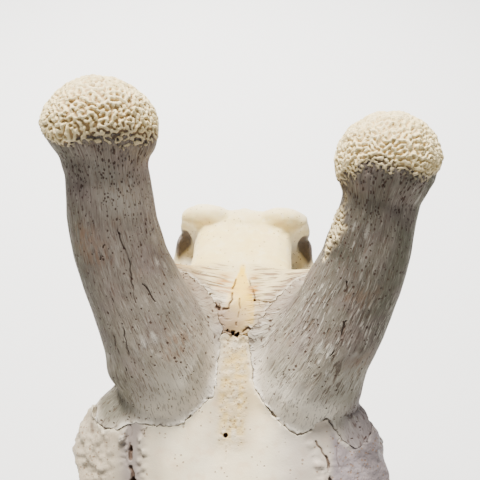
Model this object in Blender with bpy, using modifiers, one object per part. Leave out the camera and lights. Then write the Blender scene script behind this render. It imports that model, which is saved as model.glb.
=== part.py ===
"""Giraffe skull with its lower jaw, life size, as it stands on a table.

Units are metres. The bones are first laid out in a skull frame: X across (the animal's left is +X),
Y back from the tip of the upper jaw, Z up from the edge of the upper tooth sockets. At the end the
whole is pitched so that the lower jaw stands on the floor, and the origin is put under its middle.
"""

import math

import bmesh
import bpy
import numpy as np
from mathutils import Matrix, Vector

# The cranium
ORBIT = (0.1060, 0.3900, 0.1040)
ORBIT_RADIUS = 0.0330
ORBIT_RIM_X = 0.1085
BRAINCASE_HALF_WIDTH = 0.0490
NUCHAL_HALF_WIDTH = 0.0650
NUCHAL_Y = 0.6040
CONDYLE = (0.0260, 0.6040, 0.0760)
FOREHEAD_NORMAL = (0, -0.29, 0.957)

# The lower jaw and the bite
JAW_JOINT = (0.0740, 0.5200, 0.0620)
JAW_JOINT_RADII = (0.0220, 0.0090, 0.0080)
RAMUS_X = 0.0665
RAMUS_LEAN = 0.10
RAMUS_THICKNESS = 0.0095
OCCLUSAL_Z = -0.0170
BITE_GAP = 0.0006
UPPER_ROOT_Z = 0.0040
LOWER_ROOT_Z = -0.0410

# How the fused bone is made: one even skin over the masses, softened, then thinned to larger facets
VOXEL = 0.0028
FINE_VOXEL = 0.0024
CRANIUM_TRIANGLES = 5600
JAW_TRIANGLES = 840

# The gap between bones that meet at a suture or a joint
BONE_GAP = 0.0003

# How the skull stands: nose down until the lower jaw is level, on small flats
PITCH = math.radians(6.35)
FLOOR_FLAT = 0.0008

SIDES = {"right": -1, "left": 1}


def smooth_table(rows, steps):
    """Rows of numbers, resampled with a Catmull-Rom curve through them, `steps` to a span."""
    rows = np.array(rows, float)
    padded = np.vstack([2 * rows[0] - rows[1], rows, 2 * rows[-1] - rows[-2]])
    out = []
    for before, start, end, after in zip(padded, padded[1:], padded[2:], padded[3:]):
        for t in np.arange(steps) / steps:
            slope = (end - before) * t
            bend = (2 * before - 5 * start + 4 * end - after) * t**2
            swing = (3 * start - before - 3 * end + after) * t**3
            out.append(start + (slope + bend + swing) / 2)
    out.append(rows[-1])
    return np.array(out)


def new_object(name, mesh):
    obj = bpy.data.objects.new(name, mesh)
    bpy.context.scene.collection.objects.link(obj)
    return obj


def object_from(name, mesh):
    """An object from a bmesh, which is freed."""
    data = bpy.data.meshes.new(name)
    mesh.to_mesh(data)
    mesh.free()
    return new_object(name, data)


def join_rings(mesh, rings):
    """Closes a tube of equal rings of vertices, with a cap at each end."""
    count = len(rings[0])
    for a, b in zip(rings, rings[1:]):
        for k in range(count):
            n = (k + 1) % count
            mesh.faces.new((a[k], a[n], b[n], b[k]))
    mesh.faces.new(rings[0][::-1])
    mesh.faces.new(rings[-1])


def loft(name, stations, up=(0, 0, 1), sides=28, steps=3, power=2.0):
    """A closed body through unlike sections. Each station is (x, y, z, half width, height above the
    centre, depth below it, taper), and a positive taper narrows the top and widens the bottom."""
    rows = smooth_table(stations, steps)
    tangents = np.gradient(rows[:, :3], axis=0)
    mesh = bmesh.new()
    rings = []
    for row, tangent in zip(rows, tangents):
        along = Vector(tangent).normalized()
        across = along.cross(Vector(up)).normalized()
        over = across.cross(along)
        half, above, below, taper = row[3:7]
        ring = []
        for k in range(sides):
            angle = 2 * math.pi * k / sides
            c = math.cos(angle)
            s = math.sin(angle)
            u = math.copysign(abs(c) ** (2 / power), c) * half * (1 - taper * s)
            v = math.copysign(abs(s) ** (2 / power), s) * (above if s > 0 else below)
            ring.append(mesh.verts.new(Vector(row[:3]) + across * u + over * v))
        rings.append(ring)
    join_rings(mesh, rings)
    bmesh.ops.recalc_face_normals(mesh, faces=mesh.faces)
    return object_from(name, mesh)


def on_side(side, stations):
    return [(side * row[0], *row[1:]) for row in stations]


def ellipsoid(name, centre, radii, turn=(0, 0, 0), segments=32, rings=20):
    """A sphere stretched to three radii and turned by angles in degrees."""
    x, y, z = (Matrix.Rotation(math.radians(angle), 3, axis) for angle, axis in zip(turn, "XYZ"))
    placed = Matrix.LocRotScale(Vector(centre), z @ y @ x, Vector(radii))
    mesh = bmesh.new()
    bmesh.ops.create_uvsphere(mesh, u_segments=segments, v_segments=rings, radius=1, matrix=placed)
    return object_from(name, mesh)


def box(name, low, high):
    low = Vector(low)
    high = Vector(high)
    mesh = bmesh.new()
    bmesh.ops.create_cube(mesh, size=1, matrix=Matrix.LocRotScale((low + high) / 2, None, high - low))
    return object_from(name, mesh)


def as_mesh(obj):
    """The object's evaluated shape as a plain mesh in world space, with its doubles welded."""
    bpy.context.view_layer.update()
    graph = bpy.context.evaluated_depsgraph_get()
    data = bpy.data.meshes.new_from_object(obj.evaluated_get(graph))
    data.transform(obj.matrix_world)
    name = obj.name
    bpy.data.objects.remove(obj)
    mesh = bmesh.new()
    mesh.from_mesh(data)
    bmesh.ops.remove_doubles(mesh, verts=mesh.verts, dist=0.00001)
    return object_from(name, mesh)


def plate(name, outline, thickness, place, rounding=0.002):
    """A flat bone cut from a closed outline of (u, v) points, filled, thickened and rounded."""
    curve = bpy.data.curves.new(name, "CURVE")
    curve.dimensions = "2D"
    curve.fill_mode = "BOTH"
    curve.extrude = thickness / 2 - rounding
    curve.bevel_depth = rounding
    curve.bevel_resolution = 1
    spline = curve.splines.new("POLY")
    points = smooth_table([*outline, outline[0]], 3)[:-1]
    spline.points.add(len(points) - 1)
    for point, (u, v) in zip(spline.points, points):
        point.co = (u, v, 0, 1)
    spline.use_cyclic_u = True
    obj = new_object(name, curve)
    obj.matrix_world = place
    return as_mesh(obj)


def boolean(obj, operation, others, solver="EXACT"):
    """One Boolean with a group of closed meshes, which are then removed."""
    group = bpy.data.collections.new(operation)
    for other in others:
        group.objects.link(other)
    change = obj.modifiers.new(operation, "BOOLEAN")
    change.operation = operation
    change.operand_type = "COLLECTION"
    change.collection = group
    change.solver = solver
    obj = as_mesh(obj)
    for other in others:
        bpy.data.objects.remove(other)
    bpy.data.collections.remove(group)
    return obj


def skin_over(obj, voxel, passes):
    """One even skin over the shape, softened by a number of smoothing passes."""
    skin = obj.modifiers.new("skin", "REMESH")
    skin.mode = "VOXEL"
    skin.voxel_size = voxel
    soften = obj.modifiers.new("soften", "SMOOTH")
    soften.factor = 0.5
    soften.iterations = passes
    return as_mesh(obj)


def thin_out(obj, triangles):
    """Fewer and larger facets, about this many triangles."""
    now = sum(len(face.vertices) - 2 for face in obj.data.polygons)
    fewer = obj.modifiers.new("fewer", "DECIMATE")
    fewer.ratio = min(1.0, triangles / now)
    fewer.use_collapse_triangulate = True
    return as_mesh(obj)


# The cranium's masses


def face_masses():
    made = [
        loft("face", [
            (0, 0.095, 0.022, 0.031, 0.022, 0.018, 0.10),
            (0, 0.130, 0.030, 0.033, 0.031, 0.026, 0.12),
            (0, 0.165, 0.036, 0.037, 0.038, 0.032, 0.14),
            (0, 0.200, 0.042, 0.044, 0.043, 0.040, 0.16),
            (0, 0.250, 0.048, 0.053, 0.052, 0.048, 0.18),
            (0, 0.300, 0.054, 0.060, 0.066, 0.052, 0.20),
            (0, 0.340, 0.062, 0.066, 0.080, 0.056, 0.16),
            (0, 0.375, 0.074, 0.070, 0.080, 0.056, 0.08),
            (0, 0.420, 0.090, 0.070, 0.075, 0.050, 0.0),
            (0, 0.460, 0.100, 0.060, 0.078, 0.052, 0.0),
        ], power=2.3),
        ellipsoid("median_swelling", (0, 0.330, 0.122), (0.036, 0.058, 0.025), (24, 0, 0)),
    ]
    for side in SIDES.values():
        made += [
            loft("socket_ridge", on_side(side, [
                (0.037, 0.206, 0.012, 0.010, 0.013, 0.012, 0),
                (0.043, 0.240, 0.012, 0.013, 0.014, 0.013, 0),
                (0.048, 0.290, 0.012, 0.0145, 0.014, 0.013, 0),
                (0.050, 0.345, 0.013, 0.0145, 0.014, 0.014, 0),
                (0.050, 0.372, 0.018, 0.011, 0.014, 0.014, 0),
            ]), power=2.6),
            loft("premaxilla", on_side(side, [
                (0.0165, 0.001, 0.0050, 0.0090, 0.0025, 0.0025, 0),
                (0.0170, 0.008, 0.0060, 0.0130, 0.0040, 0.0035, 0),
                (0.0170, 0.025, 0.0075, 0.0140, 0.0055, 0.0050, 0),
                (0.0170, 0.050, 0.0100, 0.0110, 0.0080, 0.0065, 0),
                (0.0190, 0.080, 0.0150, 0.0105, 0.0120, 0.0100, 0),
                (0.0210, 0.115, 0.0220, 0.0100, 0.0180, 0.0160, 0),
            ]), power=2.3),
            loft("nasal_process", on_side(side, [
                (0.0200, 0.070, 0.020, 0.0050, 0.008, 0.008, 0),
                (0.0235, 0.105, 0.036, 0.0055, 0.008, 0.012, 0),
                (0.0265, 0.145, 0.050, 0.0060, 0.008, 0.012, 0),
                (0.0290, 0.185, 0.064, 0.0060, 0.008, 0.012, 0),
            ])),
            loft("pterygoid", on_side(side, [
                (0.0230, 0.372, 0.030, 0.0060, 0.030, 0.026, 0),
                (0.0215, 0.400, 0.032, 0.0045, 0.030, 0.027, 0),
                (0.0205, 0.430, 0.038, 0.0042, 0.028, 0.030, 0),
                (0.0190, 0.452, 0.050, 0.0040, 0.018, 0.030, 0),
            ])),
        ]
    return made


def cheek_masses():
    made = []
    for side in SIDES.values():
        made += [
            ellipsoid("orbit_mass", (side * 0.070, 0.393, 0.104), (0.048, 0.046, 0.043)),
            ellipsoid("cheek_body", (side * 0.088, 0.364, 0.080), (0.024, 0.030, 0.020), (-15, 0, 0)),
            loft("postorbital_bar", on_side(side, [
                (0.104, 0.4200, 0.132, 0.008, 0.008, 0.007, 0),
                (0.107, 0.4255, 0.104, 0.007, 0.007, 0.006, 0),
                (0.108, 0.4200, 0.074, 0.008, 0.010, 0.009, 0),
            ]), up=(0, 1, 0)),
            loft("cheek_ridge", on_side(side, [
                (0.100, 0.372, 0.074, 0.010, 0.010, 0.010, 0),
                (0.084, 0.345, 0.062, 0.011, 0.011, 0.011, 0),
                (0.062, 0.312, 0.046, 0.012, 0.012, 0.012, 0),
                (0.050, 0.290, 0.038, 0.008, 0.008, 0.008, 0),
            ])),
            loft("arch", on_side(side, [
                (0.106, 0.400, 0.069, 0.0080, 0.009, 0.009, 0),
                (0.110, 0.430, 0.067, 0.0065, 0.010, 0.010, 0),
                (0.107, 0.460, 0.070, 0.0060, 0.010, 0.010, 0),
                (0.101, 0.490, 0.075, 0.0060, 0.009, 0.009, 0),
                (0.090, 0.517, 0.080, 0.0065, 0.009, 0.009, 0),
            ])),
        ]
    return made


def roof_masses():
    middle = (0, 0.4110, 0.1510, 0.058, 0.0125, 0.024, 0)
    right_wing = [
        (-0.1185, 0.3915, 0.1290, 0.015, 0.006, 0.006, 0),
        (-0.1130, 0.3915, 0.1310, 0.025, 0.009, 0.010, 0),
        (-0.0960, 0.3950, 0.1370, 0.036, 0.013, 0.016, 0),
        (-0.0700, 0.4030, 0.1440, 0.048, 0.016, 0.020, 0),
        (-0.0350, 0.4090, 0.1500, 0.056, 0.0145, 0.024, 0),
    ]
    left_wing = [
        (0.0350, 0.4090, 0.1500, 0.056, 0.0145, 0.024, 0),
        (0.0700, 0.4020, 0.1440, 0.047, 0.016, 0.020, 0),
        (0.0960, 0.3880, 0.1370, 0.031, 0.013, 0.016, 0),
        (0.1130, 0.3830, 0.1310, 0.019, 0.009, 0.010, 0),
        (0.1200, 0.3820, 0.1290, 0.012, 0.006, 0.006, 0),
    ]
    bridge_middle = (0, 0.505, 0.165, 0.034, 0.0240, 0.020, 0)
    half_bridge = [
        (0.030, 0.504, 0.166, 0.035, 0.0255, 0.022, 0),
        (0.050, 0.503, 0.168, 0.036, 0.0300, 0.024, 0),
        (0.062, 0.500, 0.170, 0.034, 0.0340, 0.026, 0),
        (0.074, 0.494, 0.172, 0.026, 0.0300, 0.024, 0),
    ]
    bridge = on_side(-1, half_bridge[::-1]) + [bridge_middle] + half_bridge
    return [
        loft("forehead", right_wing + [middle] + left_wing, up=FOREHEAD_NORMAL, power=2.6),
        loft("bridge", bridge, power=3.2),
        loft("parietal_table", [
            (0, 0.500, 0.150, 0.045, 0.036, 0.03, 0),
            (0, 0.522, 0.152, 0.046, 0.034, 0.03, 0),
            (0, 0.545, 0.150, 0.046, 0.031, 0.03, 0),
            (0, 0.570, 0.146, 0.045, 0.024, 0.03, 0),
            (0, 0.590, 0.140, 0.046, 0.021, 0.03, 0),
            (0, 0.606, 0.138, 0.050, 0.023, 0.03, 0),
        ], power=3.2),
    ]


def braincase_masses():
    wide = BRAINCASE_HALF_WIDTH
    flange = NUCHAL_HALF_WIDTH
    made = [
        loft("braincase", [
            (0, 0.425, 0.105, wide * 1.22, 0.060, 0.052, 0),
            (0, 0.450, 0.108, wide * 1.12, 0.068, 0.058, 0),
            (0, 0.480, 0.110, wide * 1.02, 0.072, 0.062, 0),
            (0, 0.510, 0.110, wide, 0.072, 0.064, 0),
            (0, 0.540, 0.108, wide * 1.02, 0.068, 0.064, 0),
            (0, 0.570, 0.104, wide * 0.98, 0.058, 0.058, 0),
            (0, 0.600, 0.100, wide * 0.90, 0.050, 0.050, 0),
        ], power=2.2),
        loft("base", [
            (0, 0.604, 0.056, 0.024, 0.014, 0.010, 0),
            (0, 0.565, 0.050, 0.021, 0.016, 0.012, 0),
            (0, 0.520, 0.050, 0.018, 0.016, 0.012, 0),
            (0, 0.480, 0.056, 0.016, 0.016, 0.012, 0),
            (0, 0.435, 0.062, 0.014, 0.016, 0.012, 0),
        ]),
        loft("nuchal_plate", [
            (0, NUCHAL_Y - 0.008, 0.055, flange * 0.68, 0.008, 0.012, 0),
            (0, NUCHAL_Y - 0.006, 0.078, flange * 0.89, 0.009, 0.014, 0),
            (0, NUCHAL_Y - 0.003, 0.100, flange * 0.985, 0.009, 0.013, 0),
            (0, NUCHAL_Y, 0.125, flange, 0.008, 0.011, 0),
            (0, NUCHAL_Y + 0.002, 0.145, flange, 0.008, 0.010, 0),
            (0, NUCHAL_Y + 0.003, 0.157, flange * 0.89, 0.007, 0.009, 0),
            (0, NUCHAL_Y + 0.003, 0.163, flange * 0.68, 0.005, 0.007, 0),
        ], up=(0, 1, 0), power=2.8),
    ]
    for side in SIDES.values():
        x, y, z = CONDYLE
        made += [
            ellipsoid("crest_lobe", (side * 0.040, 0.606, 0.158), (0.024, 0.011, 0.0125), (0, side * 12, 0)),
            ellipsoid("condyle", (side * x, y, z), (0.018, 0.017, 0.026), (0, side * 14, 0)),
            ellipsoid("mastoid", (side * 0.056, 0.576, 0.082), (0.014, 0.022, 0.030)),
            ellipsoid("bulla", (side * 0.034, 0.545, 0.046), (0.014, 0.022, 0.021)),
            ellipsoid("postglenoid", (side * 0.071, 0.5385, 0.069), (0.013, 0.006, 0.013)),
            loft("ear_tube", on_side(side, [
                (0.040, 0.548, 0.066, 0.009, 0.009, 0.009, 0),
                (0.056, 0.552, 0.076, 0.008, 0.008, 0.008, 0),
                (0.068, 0.556, 0.084, 0.0075, 0.0075, 0.0075, 0),
            ])),
            loft("paroccipital", on_side(side, [
                (0.046, 0.582, 0.078, 0.012, 0.010, 0.010, 0),
                (0.047, 0.586, 0.050, 0.010, 0.007, 0.007, 0),
                (0.048, 0.588, 0.026, 0.007, 0.005, 0.005, 0),
                (0.048, 0.586, 0.006, 0.004, 0.0035, 0.0035, 0),
            ]), up=(0, 1, 0)),
            loft("squamosal_root", on_side(side, [
                (0.030, 0.522, 0.084, 0.026, 0.014, 0.014, 0),
                (0.060, 0.522, 0.081, 0.025, 0.011, 0.012, 0),
                (0.082, 0.521, 0.079, 0.020, 0.010, 0.011, 0),
                (0.097, 0.519, 0.079, 0.012, 0.009, 0.009, 0),
            ]), power=2.4),
            loft("temporal_crest", on_side(side, [
                (0.062, 0.602, 0.122, 0.006, 0.016, 0.016, 0),
                (0.066, 0.590, 0.111, 0.006, 0.013, 0.014, 0),
                (0.072, 0.568, 0.098, 0.006, 0.010, 0.012, 0),
                (0.082, 0.542, 0.086, 0.007, 0.009, 0.010, 0),
            ])),
        ]
    return made


# The axis of each horn from its root up, as (x outward, y, z, radius). As in the animal, the two differ.
HORN_AXIS = {
    "right": [
        (0.0440, 0.444, 0.118, 0.0360),
        (0.0470, 0.452, 0.145, 0.0405),
        (0.0520, 0.463, 0.166, 0.0415),
        (0.0585, 0.474, 0.184, 0.0395),
        (0.0655, 0.484, 0.197, 0.0370),
        (0.0735, 0.497, 0.211, 0.0347),
        (0.0805, 0.509, 0.225, 0.0330),
        (0.0857, 0.521, 0.239, 0.0318),
        (0.0888, 0.533, 0.252, 0.0308),
        (0.0902, 0.544, 0.265, 0.0298),
        (0.0912, 0.555, 0.277, 0.0282),
        (0.0930, 0.566, 0.289, 0.0300),
    ],
    "left": [
        (0.0460, 0.444, 0.118, 0.0360),
        (0.0510, 0.452, 0.145, 0.0405),
        (0.0580, 0.464, 0.167, 0.0405),
        (0.0670, 0.476, 0.186, 0.0372),
        (0.0755, 0.489, 0.202, 0.0348),
        (0.0830, 0.503, 0.218, 0.0327),
        (0.0885, 0.515, 0.232, 0.0308),
        (0.0920, 0.527, 0.245, 0.0292),
        (0.0945, 0.538, 0.258, 0.0272),
        (0.0955, 0.546, 0.268, 0.0257),
        (0.0955, 0.552, 0.275, 0.0250),
        (0.0965, 0.559, 0.283, 0.0265),
    ],
}
KNOB_CENTRE = {"right": (0.0950, 0.5760, 0.3005), "left": (0.0972, 0.5630, 0.2875)}
KNOB_RADII = {"right": (0.0388, 0.0380, 0.0305), "left": (0.0340, 0.0335, 0.0330)}
KNOB_TURN = {"right": (-41, 9, 0), "left": (-41, 0, 0)}


def horn_masses():
    made = []
    for name, side in SIDES.items():
        shaft = [(x, y, z, r, r, r * 1.04, 0) for x, y, z, r in HORN_AXIS[name]]
        x, y, z = KNOB_CENTRE[name]
        made += [
            loft("shaft", on_side(side, shaft), up=(0, 1, -0.6)),
            ellipsoid("knob", (side * x, y, z), KNOB_RADII[name], KNOB_TURN[name]),
            ellipsoid("lobe", (side * 0.049, 0.452, 0.150), (0.043, 0.047, 0.027), (17, 0, 0)),
        ]
    made.append(ellipsoid("inner_bump", (0.0725, 0.5260, 0.247), (0.011, 0.019, 0.013), (-40, 0, 0)))
    return made


def hollows():
    made = [
        loft("nasal_gutter", [
            (0, 0.046, 0.075, 0.006, 0.05, 0.058, 0),
            (0, 0.070, 0.075, 0.011, 0.05, 0.056, 0),
            (0, 0.100, 0.075, 0.016, 0.05, 0.053, 0),
            (0, 0.128, 0.075, 0.020, 0.05, 0.051, 0),
        ], power=3.0),
        loft("nasal_tunnel", [
            (0, 0.110, 0.040, 0.0185, 0.020, 0.018, 0),
            (0, 0.135, 0.041, 0.0210, 0.019, 0.018, 0),
            (0, 0.165, 0.043, 0.0230, 0.024, 0.020, 0),
            (0, 0.200, 0.046, 0.0240, 0.030, 0.024, 0),
            (0, 0.235, 0.048, 0.0200, 0.028, 0.022, 0),
            (0, 0.262, 0.050, 0.0100, 0.015, 0.012, 0),
        ], power=2.4),
        loft("choana", [
            (0, 0.362, 0.024, 0.0130, 0.010, 0.008, 0),
            (0, 0.385, 0.020, 0.0160, 0.018, 0.030, 0),
            (0, 0.420, 0.020, 0.0160, 0.024, 0.040, 0),
            (0, 0.458, 0.020, 0.0150, 0.028, 0.040, 0),
        ], power=2.6),
        loft("palate_hollow", [
            (0, 0.110, -0.004, 0.018, 0.009, 0.010, 0),
            (0, 0.170, -0.006, 0.022, 0.013, 0.010, 0),
            (0, 0.230, -0.010, 0.026, 0.016, 0.010, 0),
            (0, 0.300, -0.010, 0.032, 0.018, 0.010, 0),
            (0, 0.372, -0.006, 0.032, 0.018, 0.010, 0),
        ]),
        loft("foramen_magnum", [
            (0, 0.560, 0.090, 0.0120, 0.0120, 0.0120, 0),
            (0, 0.585, 0.088, 0.0165, 0.0165, 0.0165, 0),
            (0, 0.630, 0.086, 0.0190, 0.0190, 0.0190, 0),
        ]),
        ellipsoid("incisive_gap", (0, 0.028, 0.004), (0.0045, 0.032, 0.030)),
    ]
    x, y, z = ORBIT
    for side in SIDES.values():
        made += [
            ellipsoid("orbit", (side * x, y, z), (0.038, ORBIT_RADIUS, ORBIT_RADIUS)),
            ellipsoid("orbit_way_back", (side * 0.082, 0.422, 0.106), (0.018, 0.028, 0.026)),
            loft("temporal_fossa", on_side(side, [
                (0.082, 0.474, 0.030, 0.018, 0.030, 0.030, 0),
                (0.083, 0.474, 0.070, 0.022, 0.034, 0.034, 0),
                (0.082, 0.474, 0.105, 0.028, 0.036, 0.036, 0),
                (0.084, 0.474, 0.135, 0.030, 0.030, 0.030, 0),
                (0.088, 0.476, 0.150, 0.022, 0.016, 0.016, 0),
            ]), up=(0, 1, 0), power=2.4),
            loft("nasal_notch", on_side(side, [
                (0.034, 0.112, 0.060, 0.016, 0.009, 0.009, 0),
                (0.034, 0.140, 0.062, 0.016, 0.006, 0.006, 0),
                (0.036, 0.178, 0.072, 0.012, 0.002, 0.002, 0),
            ])),
            ellipsoid("infraorbital", (side * 0.047, 0.222, 0.036), (0.008, 0.008, 0.005)),
            ellipsoid("lacrimal_gap", (side * 0.060, 0.336, 0.108), (0.014, 0.020, 0.006), (-25, 0, 0)),
            ellipsoid("ear_hole", (side * 0.076, 0.559, 0.089), (0.012, 0.004, 0.004), (0, side * -25, 0)),
        ]
    return made


def orbit_rim(side):
    bpy.ops.mesh.primitive_torus_add(
        major_radius=ORBIT_RADIUS + 0.0015,
        minor_radius=0.0052,
        major_segments=40,
        minor_segments=12,
        location=(side * ORBIT_RIM_X, ORBIT[1], ORBIT[2]),
        rotation=(0, math.radians(90), math.radians(side * -14)),
    )
    return as_mesh(bpy.context.object)


def cranium():
    """The whole upper skull in one piece, before it is parted along its sutures. On a skin this fine
    the exact solver takes minutes, and it leaves the orbit rims open."""
    masses = face_masses() + cheek_masses() + roof_masses() + braincase_masses() + horn_masses()
    body = boolean(masses[0], "UNION", masses[1:], "MANIFOLD")
    body = skin_over(body, VOXEL, 14)
    body = boolean(body, "DIFFERENCE", hollows(), "MANIFOLD")
    body = boolean(body, "UNION", [orbit_rim(side) for side in SIDES.values()], "MANIFOLD")
    body = skin_over(body, FINE_VOXEL, 3)
    return thin_out(body, CRANIUM_TRIANGLES)


# The edge of each horn's base on the roof: from the bregma forward along the midline, over the
# forehead, out to the side and back round behind, as (x outward, y, z)
HORN_BASE = {
    "right": [
        (0.0105, 0.480, 0.184), (0.0105, 0.467, 0.181), (0.0110, 0.450, 0.176), (0.0120, 0.436, 0.172),
        (0.0210, 0.427, 0.170), (0.0320, 0.418, 0.166), (0.0420, 0.413, 0.165), (0.0520, 0.412, 0.165),
        (0.0690, 0.414, 0.163), (0.0820, 0.410, 0.160), (0.0930, 0.414, 0.152), (0.1000, 0.430, 0.146),
        (0.1000, 0.455, 0.148), (0.0960, 0.480, 0.156), (0.0880, 0.503, 0.170), (0.0760, 0.520, 0.186),
        (0.0600, 0.527, 0.196), (0.0420, 0.522, 0.192), (0.0260, 0.511, 0.190), (0.0160, 0.497, 0.189),
    ],
    "left": [
        (0.0105, 0.480, 0.184), (0.0120, 0.467, 0.181), (0.0145, 0.455, 0.177), (0.0200, 0.441, 0.172),
        (0.0290, 0.428, 0.170), (0.0390, 0.419, 0.167), (0.0510, 0.413, 0.165), (0.0610, 0.418, 0.166),
        (0.0720, 0.420, 0.164), (0.0810, 0.412, 0.161), (0.0910, 0.411, 0.154), (0.1000, 0.426, 0.147),
        (0.1010, 0.452, 0.148), (0.0980, 0.478, 0.156), (0.0900, 0.502, 0.171), (0.0780, 0.520, 0.188),
        (0.0620, 0.527, 0.199), (0.0430, 0.518, 0.193), (0.0280, 0.502, 0.190), (0.0180, 0.488, 0.188),
    ],
}
HORN_ROOT = Vector((0.052, 0.470, 0.070))
HORN_LEAN = Vector((0.30, 0.66, 0.75)).normalized()
BASE_DEPTH = 0.86
SLEEVE = [
    ((0.082, 0.500, 0.232), 0.056),
    ((0.094, 0.550, 0.280), 0.054),
    ((0.105, 0.600, 0.335), 0.062),
]


def horn_cup(name, swell):
    """The space of one horn: a bowl sunk in the roof, whose lip follows the base's edge, and above it
    a wide sleeve round the shaft and the knob. `swell` grows it all round."""
    edge = [Vector(point) for point in smooth_table([*HORN_BASE[name], HORN_BASE[name][0]], 2)[:-1]]
    middle = sum(edge, Vector()) / len(edge)

    def from_root(scale):
        return [HORN_ROOT + (point - HORN_ROOT) * scale for point in edge]

    def sleeve_ring(centre, radius):
        ring = []
        for point in edge:
            away = point - middle
            away -= away.project(HORN_LEAN)
            ring.append(Vector(centre) + away.normalized() * radius)
        return ring

    bowl = from_root(BASE_DEPTH)
    floor = [point.lerp(middle, 0.45) - Vector((0, 0, 0.008)) for point in bowl]
    rings = [floor, bowl, edge, from_root(1.07)]
    rings += [sleeve_ring(centre, radius) for centre, radius in SLEEVE]
    side = SIDES[name]
    mesh = bmesh.new()
    join_rings(mesh, [[mesh.verts.new((side * p.x, p.y, p.z)) for p in ring] for ring in rings])
    bmesh.ops.triangulate(mesh, faces=mesh.faces)
    bmesh.ops.recalc_face_normals(mesh, faces=mesh.faces)
    mesh.normal_update()
    moves = [(vert, vert.normal * swell * vert.calc_shell_factor()) for vert in mesh.verts]
    for vert, move in moves:
        vert.co += move
    return object_from("horn_cup", mesh)


def sheet(name, rows):
    """A thin parting sheet through a grid of points."""
    mesh = bmesh.new()
    grid = [[mesh.verts.new(point) for point in row] for row in rows]
    for a, b in zip(grid, grid[1:]):
        for k in range(len(a) - 1):
            mesh.faces.new((a[k], a[k + 1], b[k + 1], b[k]))
    obj = object_from(name, mesh)
    body = obj.modifiers.new("body", "SOLIDIFY")
    body.thickness = BONE_GAP
    body.offset = 0
    return as_mesh(obj)


# Sutures seen from the side, as (y, z) from top to bottom
CORONAL_SUTURE = [
    (0.4790, 0.260), (0.4785, 0.180), (0.4740, 0.150), (0.4660, 0.120), (0.4620, 0.090), (0.4620, -0.040),
]
FACIAL_SUTURE = [
    (0.2800, 0.200), (0.2800, 0.094), (0.3080, 0.082), (0.3360, 0.068), (0.3640, 0.046), (0.3840, 0.028),
    (0.3860, -0.040),
]
INCISIVE_SUTURE = [(0.1290, 0.100), (0.0960, -0.040)]
# The nasal bones' edges, as (y, half width, height of the roof there)
NASAL_SUTURE = [
    (0.1000, 0.0200, 0.052), (0.1300, 0.0200, 0.064), (0.1650, 0.0225, 0.075),
    (0.2000, 0.0250, 0.087), (0.2500, 0.0290, 0.105), (0.2801, 0.0310, 0.115),
]
NASAL_THICKNESS = 0.0145
SUTURE_HALF_WIDTH = 0.150


def sutures():
    def across(name, line):
        xs = np.linspace(-SUTURE_HALF_WIDTH, SUTURE_HALF_WIDTH, 5)
        return sheet(name, [[(x, y, z) for y, z in line] for x in xs])

    nasal = []
    for y, half, top in NASAL_SUTURE:
        floor = top - NASAL_THICKNESS
        wall = [(half + 0.004, top + 0.025), (half, floor + 0.003), (half - 0.003, floor)]
        nasal.append([(-x, y, z) for x, z in wall] + [(x, y, z) for x, z in wall[::-1]])
    middle = [[(0, -0.020, z), (0, 0.100, z), (0, y + 0.0001, z)] for y, z in FACIAL_SUTURE]
    return [
        across("coronal", CORONAL_SUTURE),
        across("facial", FACIAL_SUTURE),
        across("incisive", INCISIVE_SUTURE),
        sheet("nasal", nasal),
        sheet("middle", middle),
    ]


def separate_bodies(obj):
    """Splits a mesh into its separate closed bodies, largest first."""
    whole = bmesh.new()
    whole.from_mesh(obj.data)
    bodies = []
    left = set(whole.verts)
    while left:
        found = {left.pop()}
        edge = list(found)
        while edge:
            vert = edge.pop()
            near = {link.other_vert(vert) for link in vert.link_edges} - found
            found |= near
            edge += near
        left -= found
        bodies.append(found)
    made = []
    for found in bodies:
        piece = bmesh.new()
        ordered = sorted(found, key=lambda vert: vert.index)
        twins = {vert: piece.verts.new(vert.co) for vert in ordered}
        faces = sorted({face for vert in found for face in vert.link_faces}, key=lambda face: face.index)
        for face in faces:
            piece.faces.new([twins[vert] for vert in face.verts])
        piece.normal_update()
        made.append((piece.calc_volume(), object_from("piece", piece)))
    whole.free()
    bpy.data.objects.remove(obj)
    made.sort(key=lambda item: -item[0])
    return [piece for volume, piece in made]


def middle_of(obj):
    points = np.array([vert.co for vert in obj.data.vertices])
    return Vector((points.min(axis=0) + points.max(axis=0)) / 2)


# Where the middle of each bone of the cranium lies, to tell the parted bones from one another
BONE_MIDDLES = {
    "braincase": (0.0, 0.541, 0.106),
    "frontal": (0.0, 0.379, 0.096),
    "maxilla_left": (0.048, 0.246, 0.051),
    "maxilla_right": (-0.048, 0.246, 0.051),
    "nasal_left": (0.015, 0.198, 0.093),
    "nasal_right": (-0.015, 0.198, 0.093),
    "premaxilla_left": (0.016, 0.060, 0.027),
    "premaxilla_right": (-0.016, 0.060, 0.027),
}


def part_cranium(body):
    """Lifts out the horns, then parts the rest along its sutures. Crumbs are dropped."""
    bones = {}
    for name in SIDES:
        twin = new_object("twin", body.data.copy())
        horn, *crumbs = separate_bodies(boolean(twin, "INTERSECT", [horn_cup(name, 0.0)]))
        bones["ossicone_" + name] = horn
        for crumb in crumbs:
            bpy.data.objects.remove(crumb)
    body = boolean(body, "DIFFERENCE", [horn_cup(name, BONE_GAP) for name in SIDES])
    body = boolean(body, "DIFFERENCE", sutures())
    for piece in separate_bodies(body):
        middle = middle_of(piece)
        name = min(BONE_MIDDLES, key=lambda key: (Vector(BONE_MIDDLES[key]) - middle).length)
        if name in bones:
            bpy.data.objects.remove(piece)
        else:
            bones[name] = piece
    return bones


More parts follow.
